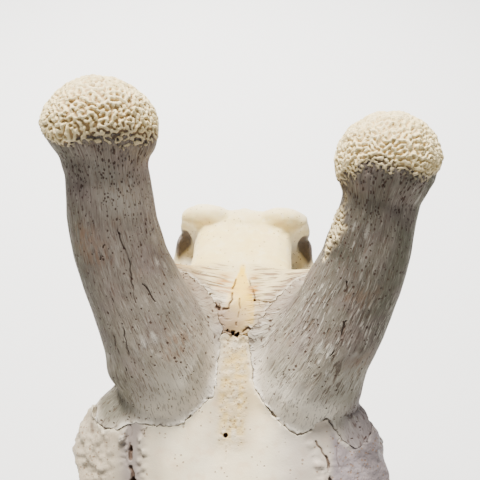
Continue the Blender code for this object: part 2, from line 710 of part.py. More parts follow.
# The ramus of the lower jaw seen from the side, as (y, z), from its root round to the angle
RAMUS = [
    (0.395, -0.040), (0.415, 0.000), (0.438, 0.038), (0.452, 0.072), (0.460, 0.104), (0.472, 0.128),
    (0.484, 0.134), (0.488, 0.126), (0.484, 0.106), (0.487, 0.082), (0.497, 0.060), (0.508, 0.056),
    (0.528, 0.056), (0.533, 0.046), (0.524, 0.024), (0.519, -0.010), (0.522, -0.048), (0.516, -0.077),
    (0.497, -0.093), (0.466, -0.099), (0.432, -0.0965), (0.402, -0.0925), (0.385, -0.070),
]
JAW_BODY = [
    (0.0120, 0.014, -0.0275, 0.0125, 0.0050, 0.0050, 0),
    (0.0140, 0.028, -0.0315, 0.0155, 0.0075, 0.0075, 0),
    (0.0125, 0.055, -0.0370, 0.0140, 0.0105, 0.0110, 0),
    (0.0125, 0.090, -0.0430, 0.0135, 0.0140, 0.0150, 0),
    (0.0150, 0.120, -0.0450, 0.0115, 0.0155, 0.0160, 0),
    (0.0225, 0.150, -0.0480, 0.0085, 0.0155, 0.0155, 0),
    (0.0300, 0.180, -0.0510, 0.0085, 0.0160, 0.0155, 0),
    (0.0365, 0.210, -0.0530, 0.0100, 0.0180, 0.0175, 0),
    (0.0415, 0.250, -0.0560, 0.0120, 0.0205, 0.0195, 0),
    (0.0455, 0.300, -0.0590, 0.0130, 0.0235, 0.0225, 0),
    (0.0490, 0.350, -0.0620, 0.0125, 0.0265, 0.0255, 0),
    (0.0540, 0.395, -0.0620, 0.0095, 0.0290, 0.0305, 0),
    (0.0600, 0.435, -0.0580, 0.0070, 0.0320, 0.0385, 0),
]
JAW_NECK = [
    (0.0720, 0.514, 0.020, 0.0080, 0.0075, 0.0075, 0),
    (0.0735, 0.518, 0.044, 0.0130, 0.0075, 0.0075, 0),
    (0.0740, 0.520, 0.060, 0.0185, 0.0060, 0.0060, 0),
]


def lower_jaw(side):
    """One half of the lower jaw, without its teeth and its joint."""
    upward = Vector((side * RAMUS_LEAN, 0, 1)).normalized()
    backward = Vector((0, 1, 0))
    standing = Matrix((backward, upward, backward.cross(upward))).transposed().to_4x4()
    standing.translation = (side * RAMUS_X, 0, 0)
    body = boolean(loft("jaw_body", on_side(side, JAW_BODY), power=2.4), "UNION", [
        plate("ramus", RAMUS, RAMUS_THICKNESS, standing),
        loft("jaw_neck", on_side(side, JAW_NECK), up=(0, 1, 0)),
        ellipsoid("jaw_angle", (side * 0.0585, 0.480, -0.070), (0.0075, 0.040, 0.024)),
        ellipsoid("socket_step", (side * 0.0525, 0.368, -0.040), (0.010, 0.030, 0.010)),
    ])
    body = skin_over(body, VOXEL, 10)
    body = boolean(body, "DIFFERENCE", [
        ellipsoid("chin_hole", (side * 0.0235, 0.112, -0.041), (0.007, 0.008, 0.0042)),
        ellipsoid("nerve_hole", (side * 0.0610, 0.452, -0.006), (0.0080, 0.010, 0.0065)),
        ellipsoid("inner_hollow", (side * 0.0540, 0.470, -0.055), (0.0062, 0.034, 0.030)),
        ellipsoid("outer_hollow", (side * 0.0820, 0.470, 0.010), (0.0090, 0.030, 0.052), (0, side * 6, 0)),
    ])
    return thin_out(skin_over(body, FINE_VOXEL, 2), JAW_TRIANGLES)


def joint_ball(side, swell):
    x, y, z = JAW_JOINT
    radii = [radius + swell for radius in JAW_JOINT_RADII]
    return ellipsoid("joint_ball", (side * x, y, z), radii, segments=12, rings=8)


# Cheek teeth from front to back: x, y, length, width, number of lobes
UPPER_CHEEK_TEETH = [
    (0.0400, 0.2215, 0.0205, 0.0200, 1),
    (0.0430, 0.2435, 0.0215, 0.0235, 1),
    (0.0455, 0.2665, 0.0220, 0.0250, 1),
    (0.0475, 0.2930, 0.0280, 0.0265, 2),
    (0.0485, 0.3225, 0.0290, 0.0270, 2),
    (0.0490, 0.3520, 0.0280, 0.0255, 2),
]
LOWER_CHEEK_TEETH = [
    (0.0375, 0.2185, 0.0185, 0.0105, 1),
    (0.0400, 0.2395, 0.0210, 0.0130, 2),
    (0.0425, 0.2630, 0.0230, 0.0155, 2),
    (0.0445, 0.2900, 0.0275, 0.0170, 2),
    (0.0460, 0.3190, 0.0285, 0.0175, 2),
    (0.0475, 0.3525, 0.0350, 0.0165, 3),
]
CROWN_SHOULDER = 0.0042
# Incisors from the middle outward: the cutting edge's x, y, z and half width, and the root's x
INCISORS = [
    (0.0064, 0.0020, -0.0150, 0.0060, 0.0055),
    (0.0178, 0.0042, -0.0150, 0.0056, 0.0115),
    (0.0268, 0.0105, -0.0155, 0.0052, 0.0170),
    (0.0342, 0.0205, -0.0165, 0.0072, 0.0215),
]


def cheek_teeth(side, rows, z_crown, z_root):
    """A row of grinding teeth: a pillar to each lobe, fused at their sides, worn to a blunt ridge."""
    shoulder = z_crown - math.copysign(CROWN_SHOULDER, z_crown - z_root)
    pillars = []
    for x, y, long, wide, lobes in rows:
        half_x = wide / 2
        half_y = long / lobes * 0.515
        for i in range(lobes):
            lobe_y = y + long * ((i + 0.5) / lobes - 0.5)
            pillars.append(loft("pillar", [
                (side * x, lobe_y, z_root, half_x * 0.90, half_y * 0.94, half_y * 0.94, 0),
                (side * x, lobe_y, shoulder, half_x, half_y, half_y, 0),
                (side * x, lobe_y, z_crown, half_x * 0.72, half_y * 0.62, half_y * 0.62, 0),
            ], up=(0, 1, 0), sides=8, steps=1, power=2.5))
    return pillars


def incisors(side):
    """The spade-shaped front teeth of the lower jaw, fanned out from their sockets."""
    made = []
    for x, y, z, half, root_x in INCISORS:
        made.append(loft("incisor", on_side(side, [
            (root_x, y * 0.5 + 0.036, -0.0315, 0.0030, 0.0030, 0.0030, 0),
            (root_x * 0.6 + x * 0.4, y * 0.8 + 0.0185, -0.0270, 0.0036, 0.0032, 0.0032, 0),
            (root_x * 0.2 + x * 0.8, y + 0.0080, -0.0205, half * 0.88, 0.0027, 0.0030, 0),
            (x, y, z, half, 0.0010, 0.0011, 0),
        ]), sides=8, steps=1, power=2.3))
    return made


def toothed_jaw(side):
    teeth = cheek_teeth(side, LOWER_CHEEK_TEETH, OCCLUSAL_Z - BITE_GAP, LOWER_ROOT_Z)
    jaw = boolean(lower_jaw(side), "UNION", [joint_ball(side, 0), *teeth, *incisors(side)])
    midline = side * BONE_GAP / 2
    beyond = sorted([midline, -side * 0.1])
    other_half = box("other_half", (beyond[0], -0.1, -0.2), (beyond[1], 0.4, 0.2))
    return boolean(jaw, "DIFFERENCE", [other_half])


def set_down(bones):
    """Pitches the skull until its lower jaw is level, cuts the flats that it stands on, and puts the
    origin on the floor under the middle."""
    for bone in bones.values():
        bone.data.transform(Matrix.Rotation(PITCH, 4, "X"))
    points = np.array([vert.co for bone in bones.values() for vert in bone.data.vertices])
    low = points.min(axis=0)
    high = points.max(axis=0)
    floor = low[2] + FLOOR_FLAT
    for name in SIDES:
        under = box("under", (low[0] - 0.1, low[1] - 0.1, floor - 0.1), (high[0] + 0.1, high[1] + 0.1, floor))
        jaw = bones["mandible_" + name]
        bones["mandible_" + name] = boolean(jaw, "DIFFERENCE", [under])
    middle = (low + high) / 2
    for bone in bones.values():
        bone.data.transform(Matrix.Translation((-middle[0], -middle[1], -floor)))


# The colour (linear) and roughness of each kind of bone
BONE_LOOKS = {
    "ossicone": ((0.47, 0.41, 0.33), 0.62),
    "mandible": ((0.60, 0.54, 0.43), 0.58),
    "skull": ((0.62, 0.56, 0.45), 0.55),
}
SHARP_ANGLE = math.radians(50)


def bone_material(name):
    colour, roughness = BONE_LOOKS.get(name.split("_")[0], BONE_LOOKS["skull"])
    material = bpy.data.materials.new(name + "_bone")
    material.use_nodes = True
    shader = material.node_tree.nodes["Principled BSDF"]
    shader.inputs["Base Color"].default_value = (*colour, 1)
    shader.inputs["Roughness"].default_value = roughness
    shader.inputs["Metallic"].default_value = 0.0
    return material


def main():
    for obj in list(bpy.data.objects):
        bpy.data.objects.remove(obj)
    bones = part_cranium(cranium())
    for name, side in SIDES.items():
        bones["mandible_" + name] = toothed_jaw(side)
        teeth = cheek_teeth(side, UPPER_CHEEK_TEETH, OCCLUSAL_Z, UPPER_ROOT_Z)
        bones["maxilla_" + name] = boolean(bones["maxilla_" + name], "UNION", teeth)
    # The exact solver leaves edges open where a joint's ball grazes the facets of its socket
    sockets = [joint_ball(side, BONE_GAP) for side in SIDES.values()]
    bones["braincase"] = boolean(bones["braincase"], "DIFFERENCE", sockets, "MANIFOLD")
    set_down(bones)
    skull = bpy.data.collections.new("giraffe_skull")
    bpy.context.scene.collection.children.link(skull)
    for name, bone in bones.items():
        bone.name = name
        bone.data.name = name
        bone.data.materials.append(bone_material(name))
        bone.data.shade_smooth()
        bone.data.set_sharp_from_angle(angle=SHARP_ANGLE)
        bpy.context.scene.collection.objects.unlink(bone)
        skull.objects.link(bone)


if __name__ == "__main__":
    main()
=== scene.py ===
import math

import bpy
import numpy as np
from mathutils import Matrix, Vector
from mathutils.bvhtree import BVHTree


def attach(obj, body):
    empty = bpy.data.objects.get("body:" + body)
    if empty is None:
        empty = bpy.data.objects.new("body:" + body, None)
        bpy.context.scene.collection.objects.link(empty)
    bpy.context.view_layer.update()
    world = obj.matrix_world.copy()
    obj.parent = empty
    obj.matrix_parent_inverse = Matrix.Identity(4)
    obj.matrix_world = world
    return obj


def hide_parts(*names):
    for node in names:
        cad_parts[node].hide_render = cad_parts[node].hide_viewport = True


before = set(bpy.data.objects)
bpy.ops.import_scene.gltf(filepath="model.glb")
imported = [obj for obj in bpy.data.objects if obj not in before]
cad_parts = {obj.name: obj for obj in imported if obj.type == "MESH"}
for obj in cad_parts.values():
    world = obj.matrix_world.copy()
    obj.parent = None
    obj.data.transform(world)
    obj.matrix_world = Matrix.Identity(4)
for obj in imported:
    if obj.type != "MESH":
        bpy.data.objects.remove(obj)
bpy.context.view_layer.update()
bpy.ops.object.select_all(action="DESELECT")

# The room. The skull stands on a plain pale table under soft studio light. Most of the light falls
# from above and behind, so the camera's side of the horns is in shade, as in the photograph.

# The sizes below are those of the skull's own frame: Z up from the sockets of the upper teeth, Y back
# from the muzzle's tip. The skull stands pitched in the room, and this turns one frame into the other.
PITCH = math.radians(6.35)
STAND = Matrix.Translation((0.00125, -0.30563, 0.04899)) @ Matrix.Rotation(PITCH, 4, "X")

bpy.ops.mesh.primitive_plane_add(size=12, location=(0, 0, 0))
table = bpy.context.object
table.name = "table_top"
table_white = bpy.data.materials.new("table_white")
table_white.use_nodes = True
paint = table_white.node_tree.nodes["Principled BSDF"]
paint.inputs["Base Color"].default_value = (0.92, 0.92, 0.92, 1)
paint.inputs["Roughness"].default_value = 0.9
paint.inputs["Specular IOR Level"].default_value = 0.1
table.data.materials.append(table_white)


def add_lamp(name, place, aim, width, power, tint):
    """A soft square lamp at a place, turned to its aim."""
    lamp = bpy.data.objects.new(name, bpy.data.lights.new(name, "AREA"))
    lamp.data.size = width
    lamp.data.energy = power
    lamp.data.color = tint
    lamp.location = place
    lamp.rotation_euler = (Vector(aim) - Vector(place)).to_track_quat("-Z", "Y").to_euler()
    bpy.context.scene.collection.objects.link(lamp)


crown = STAND @ Vector((0, 0.46, 0.18))
add_lamp("key_lamp", (-0.30, 1.25, 2.10), crown, width=0.9, power=235, tint=(1.0, 0.975, 0.93))
add_lamp("fill_lamp", (0.9, -1.6, 1.5), crown, width=1.6, power=6, tint=(0.93, 0.96, 1.0))

room_light = bpy.data.worlds.new("room_light")
room_light.use_nodes = True
room_light.node_tree.nodes["Background"].inputs["Color"].default_value = (1, 1, 1, 1)
room_light.node_tree.nodes["Background"].inputs["Strength"].default_value = 0.30
bpy.context.scene.world = room_light

# The camera looks down on the crown from in front, as in the photograph
EYE = Vector((0.01704, 0.35019, 0.51765))
LOOKS_ALONG = Vector((-0.0464, 0.5380, -0.8417))
IMAGE_RIGHT = Vector((0.9978, 0.0654, -0.0133))
FOCAL_PIXELS = 460
IMAGE_PIXELS = 480
camera = bpy.data.objects.new("camera", bpy.data.cameras.new("camera"))
bpy.context.scene.collection.objects.link(camera)
bpy.context.scene.camera = camera
camera.data.sensor_width = 36
camera.data.lens = 36 * FOCAL_PIXELS / IMAGE_PIXELS
camera.data.clip_start = 0.01
image_up = IMAGE_RIGHT.cross(LOOKS_ALONG)
turned = Matrix((IMAGE_RIGHT, image_up, -LOOKS_ALONG)).transposed().to_4x4()
camera.matrix_world = STAND @ Matrix.Translation(EYE) @ turned

# The cranium's surface. In life its bones grow as one shell that sutures part, so the surface runs on
# smoothly from bone to bone. It is worked out once here from all the solids of the upper skull, and
# each bone below is laid on it, which rounds the solids' facets but keeps the bones' edges sharp.


def joined_copy(name, nodes):
    """One mesh object with copies of these solids."""
    bpy.ops.object.select_all(action="DESELECT")
    copies = []
    for node in nodes:
        part = bpy.data.objects.new(name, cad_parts[node].data.copy())
        bpy.context.scene.collection.objects.link(part)
        part.select_set(True)
        copies.append(part)
    bpy.context.view_layer.objects.active = copies[0]
    if len(copies) > 1:
        bpy.ops.object.join()
    whole = copies[0]
    bpy.ops.object.mode_set(mode="EDIT")
    bpy.ops.mesh.select_all(action="SELECT")
    bpy.ops.mesh.remove_doubles(threshold=0.00001)
    bpy.ops.object.mode_set(mode="OBJECT")
    whole.data.materials.clear()
    return whole


def apply_modifier(obj, kind, **settings):
    change = obj.modifiers.new(kind.lower(), kind)
    for key, value in settings.items():
        setattr(change, key, value)
    bpy.context.view_layer.objects.active = obj
    bpy.ops.object.modifier_apply(modifier=change.name)


def read_points(mesh, what="co"):
    values = np.empty(len(mesh.vertices) * 3, np.float32)
    mesh.vertices.foreach_get(what, values)
    return values.reshape(-1, 3).astype(float)


def write_points(mesh, points):
    mesh.vertices.foreach_set("co", points.astype(np.float32).ravel())
    mesh.update()


def in_skull(points):
    """Points of the room in the skull's own frame."""
    back = np.array(STAND.inverted())
    return points @ back[:3, :3].T + back[:3, 3]


def links_of(mesh):
    """Every edge of the mesh as two vertex numbers, both ways round."""
    pairs = np.empty(len(mesh.edges) * 2, np.int32)
    mesh.edges.foreach_get("vertices", pairs)
    pairs = pairs.reshape(-1, 2)
    return np.concatenate([pairs, pairs[:, ::-1]])


def neighbour_mean(values, links):
    """For each vertex, the mean of a value over the vertices next to it."""
    count = len(values)
    number = np.maximum(np.bincount(links[:, 0], minlength=count), 1)
    columns = values.reshape(count, -1).T
    means = [np.bincount(links[:, 0], column[links[:, 1]], count) / number for column in columns]
    return np.stack(means, axis=1).reshape(values.shape)


PULL_IN = 0.55
PUSH_OUT = 0.57


def fair(mesh, passes):
    """Rounds off facets and keeps the form: each pass pulls in and pushes out again."""
    points = read_points(mesh)
    links = links_of(mesh)
    for turn in range(passes):
        points += PULL_IN * (neighbour_mean(points, links) - points)
        points -= PUSH_OUT * (neighbour_mean(points, links) - points)
    write_points(mesh, points)


CRANIUM = [
    "braincase", "frontal", "maxilla_left", "maxilla_right", "nasal_left", "nasal_right",
    "premaxilla_left", "premaxilla_right", "ossicone_left", "ossicone_right",
]
SURFACE_VOXEL = 0.0014
SURFACE_PASSES = 70
cranium_surface = joined_copy("cranium_surface", CRANIUM)
apply_modifier(cranium_surface, "REMESH", mode="VOXEL", voxel_size=SURFACE_VOXEL)
fair(cranium_surface.data, SURFACE_PASSES)
cranium_tree = BVHTree.FromObject(cranium_surface, bpy.context.evaluated_depsgraph_get())


def chance(corners, seed):
    """A number from 0 to 1 for each corner of a lattice, strewn evenly and the same in each run."""
    x, y, z = corners.T
    key = x * 374761393 + y * 668265263 + z * 1274126177 + seed * 2654435761
    key = (key ^ (key >> 13)) * 1103515245 & 0x7FFFFFFF
    key = (key ^ (key >> 15)) * 12345679 & 0x7FFFFFFF
    return (key >> 8 & 0xFFFF) / 65535


def lattice_noise(points, cell, seed):
    """Smooth noise from -1 to 1, whose lumps are about one cell across."""
    place = points / cell + 1000
    corner = np.floor(place).astype(np.int64)
    t = place - corner
    t = t * t * t * (t * (t * 6 - 15) + 10)
    total = np.zeros(len(points))
    for dx in (0, 1):
        for dy in (0, 1):
            for dz in (0, 1):
                share = np.where((dx, dy, dz), t, 1 - t).prod(axis=1)
                total += (chance(corner + (dx, dy, dz), seed) * 2 - 1) * share
    return total


def nearest_spot(points, cell, seed):
    """Spots strewn one to a cell: how far the nearest is, in cells, and that spot's own chance."""
    place = points / cell + 1000
    corner = np.floor(place).astype(np.int64)
    gap = np.full(len(points), 9.0)
    own = np.zeros(len(points))
    for step in np.ndindex(3, 3, 3):
        there = corner + step - 1
        spot = there + np.stack([chance(there, seed + k) for k in range(3)], axis=1)
        distance = np.sqrt(((spot - place) ** 2).sum(axis=1))
        nearer = distance < gap
        gap = np.where(nearer, distance, gap)
        own = np.where(nearer, chance(there, seed + 3), own)
    return gap, own


def path_gap(plan, path):
    """How far each point of a plan is from a path through a few points."""
    gap = np.full(len(plan), 9.0)
    corners = np.array(path, float)
    for start, end in zip(corners[:-1], corners[1:]):
        along = end - start
        share = np.clip((plan - start) @ along / (along @ along), 0, 1)
        gap = np.minimum(gap, np.linalg.norm(plan - start - share[:, None] * along, axis=1))
    return gap


def ease(values, start, end):
    """0 before the start, 1 past the end, and smooth between."""
    t = np.clip((values - start) / (end - start), 0, 1)
    return t * t * (3 - 2 * t)


# Where a suture runs otherwise than between the solids: the place, how it shifts, and the reach, in mm
SEAM_DRIFTS = [((68, 419, 168), (-1, 3.5, 7.5), 12), ((50, 411, 166), (2, 0, -1), 9)]


def drift(at):
    """The shift of the sutures at each point. It moves both bones alike, so that they stay together."""
    shift = np.zeros(at.shape)
    for centre, way, reach in SEAM_DRIFTS:
        near = np.exp(-((at - np.array(centre) / 1000) ** 2).sum(axis=1) / (reach / 1000) ** 2)
        shift += near[:, None] * np.array(way) / 1000
    return shift


# Bones farther apart than this count as apart
FAR = 0.02
# How near the next bone, and the surface, a face is part of a suture's edge
SUTURE_NEAR = 0.0022
SURFACE_NEAR = 0.0012
# Points within the first of these of the surface are laid on it, and past the second they stay put.
# Points within `FOLLOW` of it take their outward way from it.
LAID_WITHIN = 0.0014
LOOSE_BEYOND = 0.0026
FOLLOW = 0.012
# Passes that round off a bone that isn't laid on the surface
LONE_PASSES = 60


class Bone:
    """A bone's fine mesh while it is carved: its points, which way is out at each, and how far each is
    from the next bone. `fineness` says of places in the skull how often their faces are quartered."""

    def __init__(self, name, node, voxel, fineness=None, prepare=None):
        self.object = joined_copy(name, [node])
        self.node = node
        if prepare:
            prepare(self.object)
        apply_modifier(self.object, "REMESH", mode="VOXEL", voxel_size=voxel)
        self.mesh = self.object.data
        if node in CRANIUM:
            self.find_neighbours([other for other in CRANIUM if other != node])
            self.quarter_faces(self.at_suture)
        else:
            fair(self.mesh, LONE_PASSES)
        if fineness:
            for level in (1, 2):
                self.quarter_faces(lambda middles: fineness(in_skull(middles)) >= level)
        self.links = links_of(self.mesh)
        self.points = read_points(self.mesh)
        self.outward = read_points(self.mesh, "normal")
        self.seam = np.full(len(self.points), FAR)
        if node in CRANIUM:
            self.seam = self.seam_of(self.points)
            self.lay_on_surface()
        self.start = in_skull(self.points)

    def quarter_faces(self, wanted):
        middles = np.empty(len(self.mesh.polygons) * 3, np.float32)
        self.mesh.polygons.foreach_get("center", middles)
        chosen = wanted(middles.reshape(-1, 3))
        bpy.context.view_layer.objects.active = self.object
        bpy.ops.object.mode_set(mode="EDIT")
        bpy.ops.mesh.select_mode(type="FACE")
        bpy.ops.mesh.select_all(action="DESELECT")
        bpy.ops.object.mode_set(mode="OBJECT")
        self.mesh.polygons.foreach_set("select", chosen)
        bpy.ops.object.mode_set(mode="EDIT")
        bpy.ops.mesh.subdivide(number_cuts=1)
        bpy.ops.object.mode_set(mode="OBJECT")

    def lay_on_surface(self):
        shift = drift(in_skull(self.points)) @ np.array(STAND)[:3, :3].T
        for i, point in enumerate(self.points):
            spot, normal, index, gap = cranium_tree.find_nearest(point)
            share = min(max((LOOSE_BEYOND - gap) / (LOOSE_BEYOND - LAID_WITHIN), 0), 1)
            if (shift[i] ** 2).sum() > 1e-8:
                point = point + shift[i]
                spot, normal, index, gap = cranium_tree.find_nearest(point)
            self.points[i] = point + share * (np.array(spot) - point)
            if gap < FOLLOW:
                self.outward[i] = normal

    def find_neighbours(self, others):
        neighbours = joined_copy("neighbours", others)
        self.neighbours = BVHTree.FromObject(neighbours, bpy.context.evaluated_depsgraph_get())
        bpy.data.objects.remove(neighbours)

    def seam_of(self, points):
        """How far each point is from the next bone, up to `FAR`."""
        gaps = [self.neighbours.find_nearest(point, FAR)[3] for point in points]
        return np.array([FAR if gap is None else gap for gap in gaps])

    def at_suture(self, middles):
        chosen = self.seam_of(middles) < SUTURE_NEAR
        for i in np.flatnonzero(chosen):
            chosen[i] = cranium_tree.find_nearest(middles[i])[3] < SURFACE_NEAR
        return chosen

    def serrate(self):
        """Shifts the edges at the sutures to and fro along the surface, alike on both bones."""
        at = self.start
        shift = np.stack([lattice_noise(at, 0.0065, seed) for seed in (1, 2, 3)], axis=1) * 0.0013
        shift += np.stack([lattice_noise(at, 0.0026, seed) for seed in (4, 5, 6)], axis=1) * 0.0011
        shift *= (1 - ease(self.seam, 0.001, 0.007))[:, None]
        shift -= (shift * self.outward).sum(axis=1)[:, None] * self.outward
        self.points += shift

    def raise_by(self, height):
        self.points += self.outward * height[:, None]

    def mark(self, name, values):
        """Keeps a value for each point, for the material to read."""
        if values.ndim == 1:
            layer = self.mesh.attributes.new(name, "FLOAT", "POINT")
            layer.data.foreach_set("value", values.astype(np.float32))
        else:
            layer = self.mesh.attributes.new(name, "FLOAT_VECTOR", "POINT")
            layer.data.foreach_set("vector", values.astype(np.float32).ravel())

    def finish(self, material):
        write_points(self.mesh, self.points)
        self.mesh.shade_smooth()
        self.mesh.materials.append(material)
        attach(self.object, "root")
        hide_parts(self.node)


class Finish:
    """A material while its nodes are laid out. Sizes are in metres."""

    def __init__(self, name, roughness, shine=0.25):
        self.material = bpy.data.materials.new(name)
        self.material.use_nodes = True
        self.shader = self.material.node_tree.nodes["Principled BSDF"]
        self.shader.inputs["Roughness"].default_value = roughness
        self.shader.inputs["Specular IOR Level"].default_value = shine
        self.place = self.node("ShaderNodeTexCoord").outputs["Object"]

    def feed(self, socket, value):
        if isinstance(value, bpy.types.NodeSocket):
            self.material.node_tree.links.new(value, socket)
        else:
            socket.default_value = value

    def node(self, kind, inputs=(), **settings):
        made = self.material.node_tree.nodes.new(kind)
        for key, value in settings.items():
            setattr(made, key, value)
        for socket, value in dict(inputs).items():
            self.feed(made.inputs[socket], value)
        return made

    def attribute(self, name, part="Fac"):
        return self.node("ShaderNodeAttribute", attribute_name=name).outputs[part]

    def scaled(self, where, size, stretch=(1, 1, 1)):
        scale = [1 / (size * part) for part in stretch]
        return self.node("ShaderNodeMapping", {"Vector": where, "Scale": scale}).outputs["Vector"]

    def noise(self, size, where=None, stretch=(1, 1, 1), detail=2.0):
        """Clouds with lumps of about this size, from 0 to 1."""
        where = self.scaled(where or self.place, size, stretch)
        return self.node("ShaderNodeTexNoise", {"Vector": where, "Scale": 1, "Detail": detail}).outputs["Fac"]

    def between(self, value, start, end, most=1.0):
        """0 before the start, the most past the end, and smooth between."""
        ends = {"Value": value, "From Min": start, "From Max": end, "To Max": most}
        return self.node("ShaderNodeMapRange", ends, interpolation_type="SMOOTHSTEP").outputs["Result"]

    def combine(self, first, second, kind="ADD"):
        return self.node("ShaderNodeMath", {0: first, 1: second}, operation=kind).outputs[0]

    def times(self, first, second):
        return self.combine(first, second, "MULTIPLY")

    def spots(self, size, radius, share, where=None, stretch=(1, 1, 1)):
        """1 in round spots, one to a cell of this size in the given share of the cells."""
        where = self.scaled(where or self.place, size, stretch)
        cells = self.node("ShaderNodeTexVoronoi", {"Vector": where, "Scale": 1})
        own = self.node("ShaderNodeSeparateColor", {"Color": cells.outputs["Color"]})
        wide = self.times(own.outputs["Green"], radius)
        inside = self.between(self.combine(wide, cells.outputs["Distance"], "SUBTRACT"), -0.03, 0.05)
        return self.times(inside, self.combine(own.outputs["Red"], share, "LESS_THAN"))

    def mix(self, share, first, second):
        """The first colour, or the second where the share is 1."""
        made = self.node("ShaderNodeMix", data_type="RGBA")
        ends = {"Factor": share, "A": first, "B": second}
        for socket in made.inputs:
            if socket.enabled and socket.name in ends:
                value = ends[socket.name]
                self.feed(socket, (*value, 1) if isinstance(value, tuple) else value)
        return [socket for socket in made.outputs if socket.enabled][0]

    def coat(self, colour, *layers):
        """Lays tints over a colour in turn. Each has its share: a socket, or a value kept on the mesh."""
        for share, tint in layers:
            share = self.attribute(share) if isinstance(share, str) else share
            colour = self.mix(share, colour, tint)
        return colour

    def done(self, colour, height):
        """Takes the colour, and the relief's height in metres."""
        self.feed(self.shader.inputs["Base Color"], colour)
        bump = self.node("ShaderNodeBump", {"Height": height, "Distance": 1.0, "Strength": 1.0})
        self.feed(self.shader.inputs["Normal"], bump.outputs["Normal"])
        return self.material


# The ossicones, the two horns of skin-covered bone. Each is one bone set on the roof of the skull over an
# open suture: a shaft of lengthwise fibres, and a knob under a crust of coral-like bone that grows with
# age. The crust is grown on the mesh from seeded noise; the fibres run down from the knob in rays.
SIDES = {"right": -1, "left": 1}
HORN_LEAN = np.array((0.227, 0.566, 0.793)) / np.linalg.norm((0.227, 0.566, 0.793))
# The horn's axis from its root up, as (x outward, y, z, radius)
HORN_AXIS = {
    "right": [
        (0.0440, 0.444, 0.118, 0.0360), (0.0520, 0.463, 0.166, 0.0415), (0.0655, 0.484, 0.197, 0.0370),
        (0.0805, 0.509, 0.225, 0.0330), (0.0888, 0.533, 0.252, 0.0308), (0.0912, 0.555, 0.277, 0.0282),
        (0.0950, 0.576, 0.3005, 0.0300), (0.0990, 0.592, 0.331, 0.0300),
    ],
    "left": [
        (0.0460, 0.444, 0.118, 0.0360), (0.0580, 0.464, 0.167, 0.0405), (0.0755, 0.489, 0.202, 0.0348),
        (0.0885, 0.515, 0.232, 0.0308), (0.0945, 0.538, 0.258, 0.0272), (0.0955, 0.552, 0.275, 0.0250),
        (0.0972, 0.563, 0.2875, 0.0265), (0.1010, 0.580, 0.321, 0.0265),
    ],
}
GRAIN_RADIUS = 0.032
# The crust's lower edge, round the horn from its outer side: degrees, height along the horn's lean, and how
# far up it thins out, in mm
CRUST_EDGE = {
    "right": [(-180, 570, 11), (-150, 571, 11), (-120, 577, 11), (-100, 580, 9), (-75, 580, 4), (-60, 582, 4),
              (-40, 585, 4), (0, 588, 4), (180, 570, 8)],
    "left": [(-180, 551, 6), (-165, 551, 5), (-145, 557, 7), (-125, 569, 9), (-105, 572, 7), (-75, 571, 4),
             (-45, 571, 4), (0, 574, 4), (180, 551, 6)],
}
# A patch of the same crust low on the inner side of the left horn: degrees, height, half width, half length
SPUR = (-163, 520, 8, 19)
CRUST_HEIGHT = 0.0019
# How much of the crust stands out of the solid's knob; the right one is a little fuller on top
CRUST_OUT = {"right": 0.75, "left": 0.55}
# Where a horn is fuller or flatter than its solid: the place, the reach, and how far it is raised, in mm
HORN_SWELLS = {
    "right": [
        ((-128, 586, 309), 22, -3.6), ((-114, 572, 331), 16, -4.6), ((-60, 566, 292), 9, 2.8),
        ((-63, 556, 281), 6, -1.4), ((-85, 440, 189), 13, 4.6),
    ],
    "left": [
        ((92, 437, 170), 14, 4.0), ((96, 430, 160), 10, 3.0), ((121, 545, 296), 9, -3.2),
        ((119, 545, 272), 9, 1.6), ((72, 545, 287), 7, -1.2),
    ],
}
# Drying cracks, as (degrees round the shaft from its outer side, height in mm)
HORN_CRACKS = {
    "right": [
        [(-115, 526), (-113, 516), (-117, 508), (-117, 497), (-112, 482), (-109, 472)],
        [(-87, 478), (-86, 467), (-85, 456), (-81, 442), (-80, 428)],
        [(-95, 514), (-90, 510), (-86, 505)],
        [(-125, 482), (-128, 475), (-129, 468)],
        [(-70, 452), (-69, 438), (-71, 425)],
    ],
    "left": [
        [(-117, 494), (-112, 487)],
        [(-100, 470), (-97, 455), (-98, 444)],
        [(-128, 462), (-124, 452), (-122, 440)],
        [(-140, 456), (-136, 447)],
    ],
}
# Painted light (above 0) and shade (below 0) on the shafts, partly the bone's own colour: degrees, height,
# reach in mm, and how much
HORN_LIGHT_AND_SHADE = {
    "right": [
        (-100, 456, 18, -0.26), (-140, 456, 16, -0.30), (-50, 445, 13, -0.35), (-20, 500, 22, -0.40),
        (-20, 540, 20, -0.40), (-118, 546, 14, 0.22), (-140, 535, 14, 0.20), (-98, 392, 15, 0.50),
        (-122, 408, 13, 0.45), (-75, 384, 10, 0.35), (-166, 486, 14, -0.50), (-145, 452, 14, -0.20),
        (-96, 558, 11, 0.16), (178, 440, 9, -0.25),
    ],
    "left": [
        (-116, 530, 17, -0.48), (-115, 502, 18, -0.48), (-148, 512, 16, -0.55), (-105, 486, 12, -0.20),
        (-98, 392, 14, 0.95), (-70, 398, 12, 0.65), (-118, 408, 11, 0.50), (-140, 470, 12, -0.20),
        (-60, 428, 17, 0.30), (-100, 392, 17, 0.45),
    ],
}
# Where a stain lies on a shaft: degrees, height and reach in mm
HORN_STAINS = {"right": [(-84, 508, 9), (-132, 435, 12), (-70, 520, 10)], "left": [(-60, 440, 9)]}


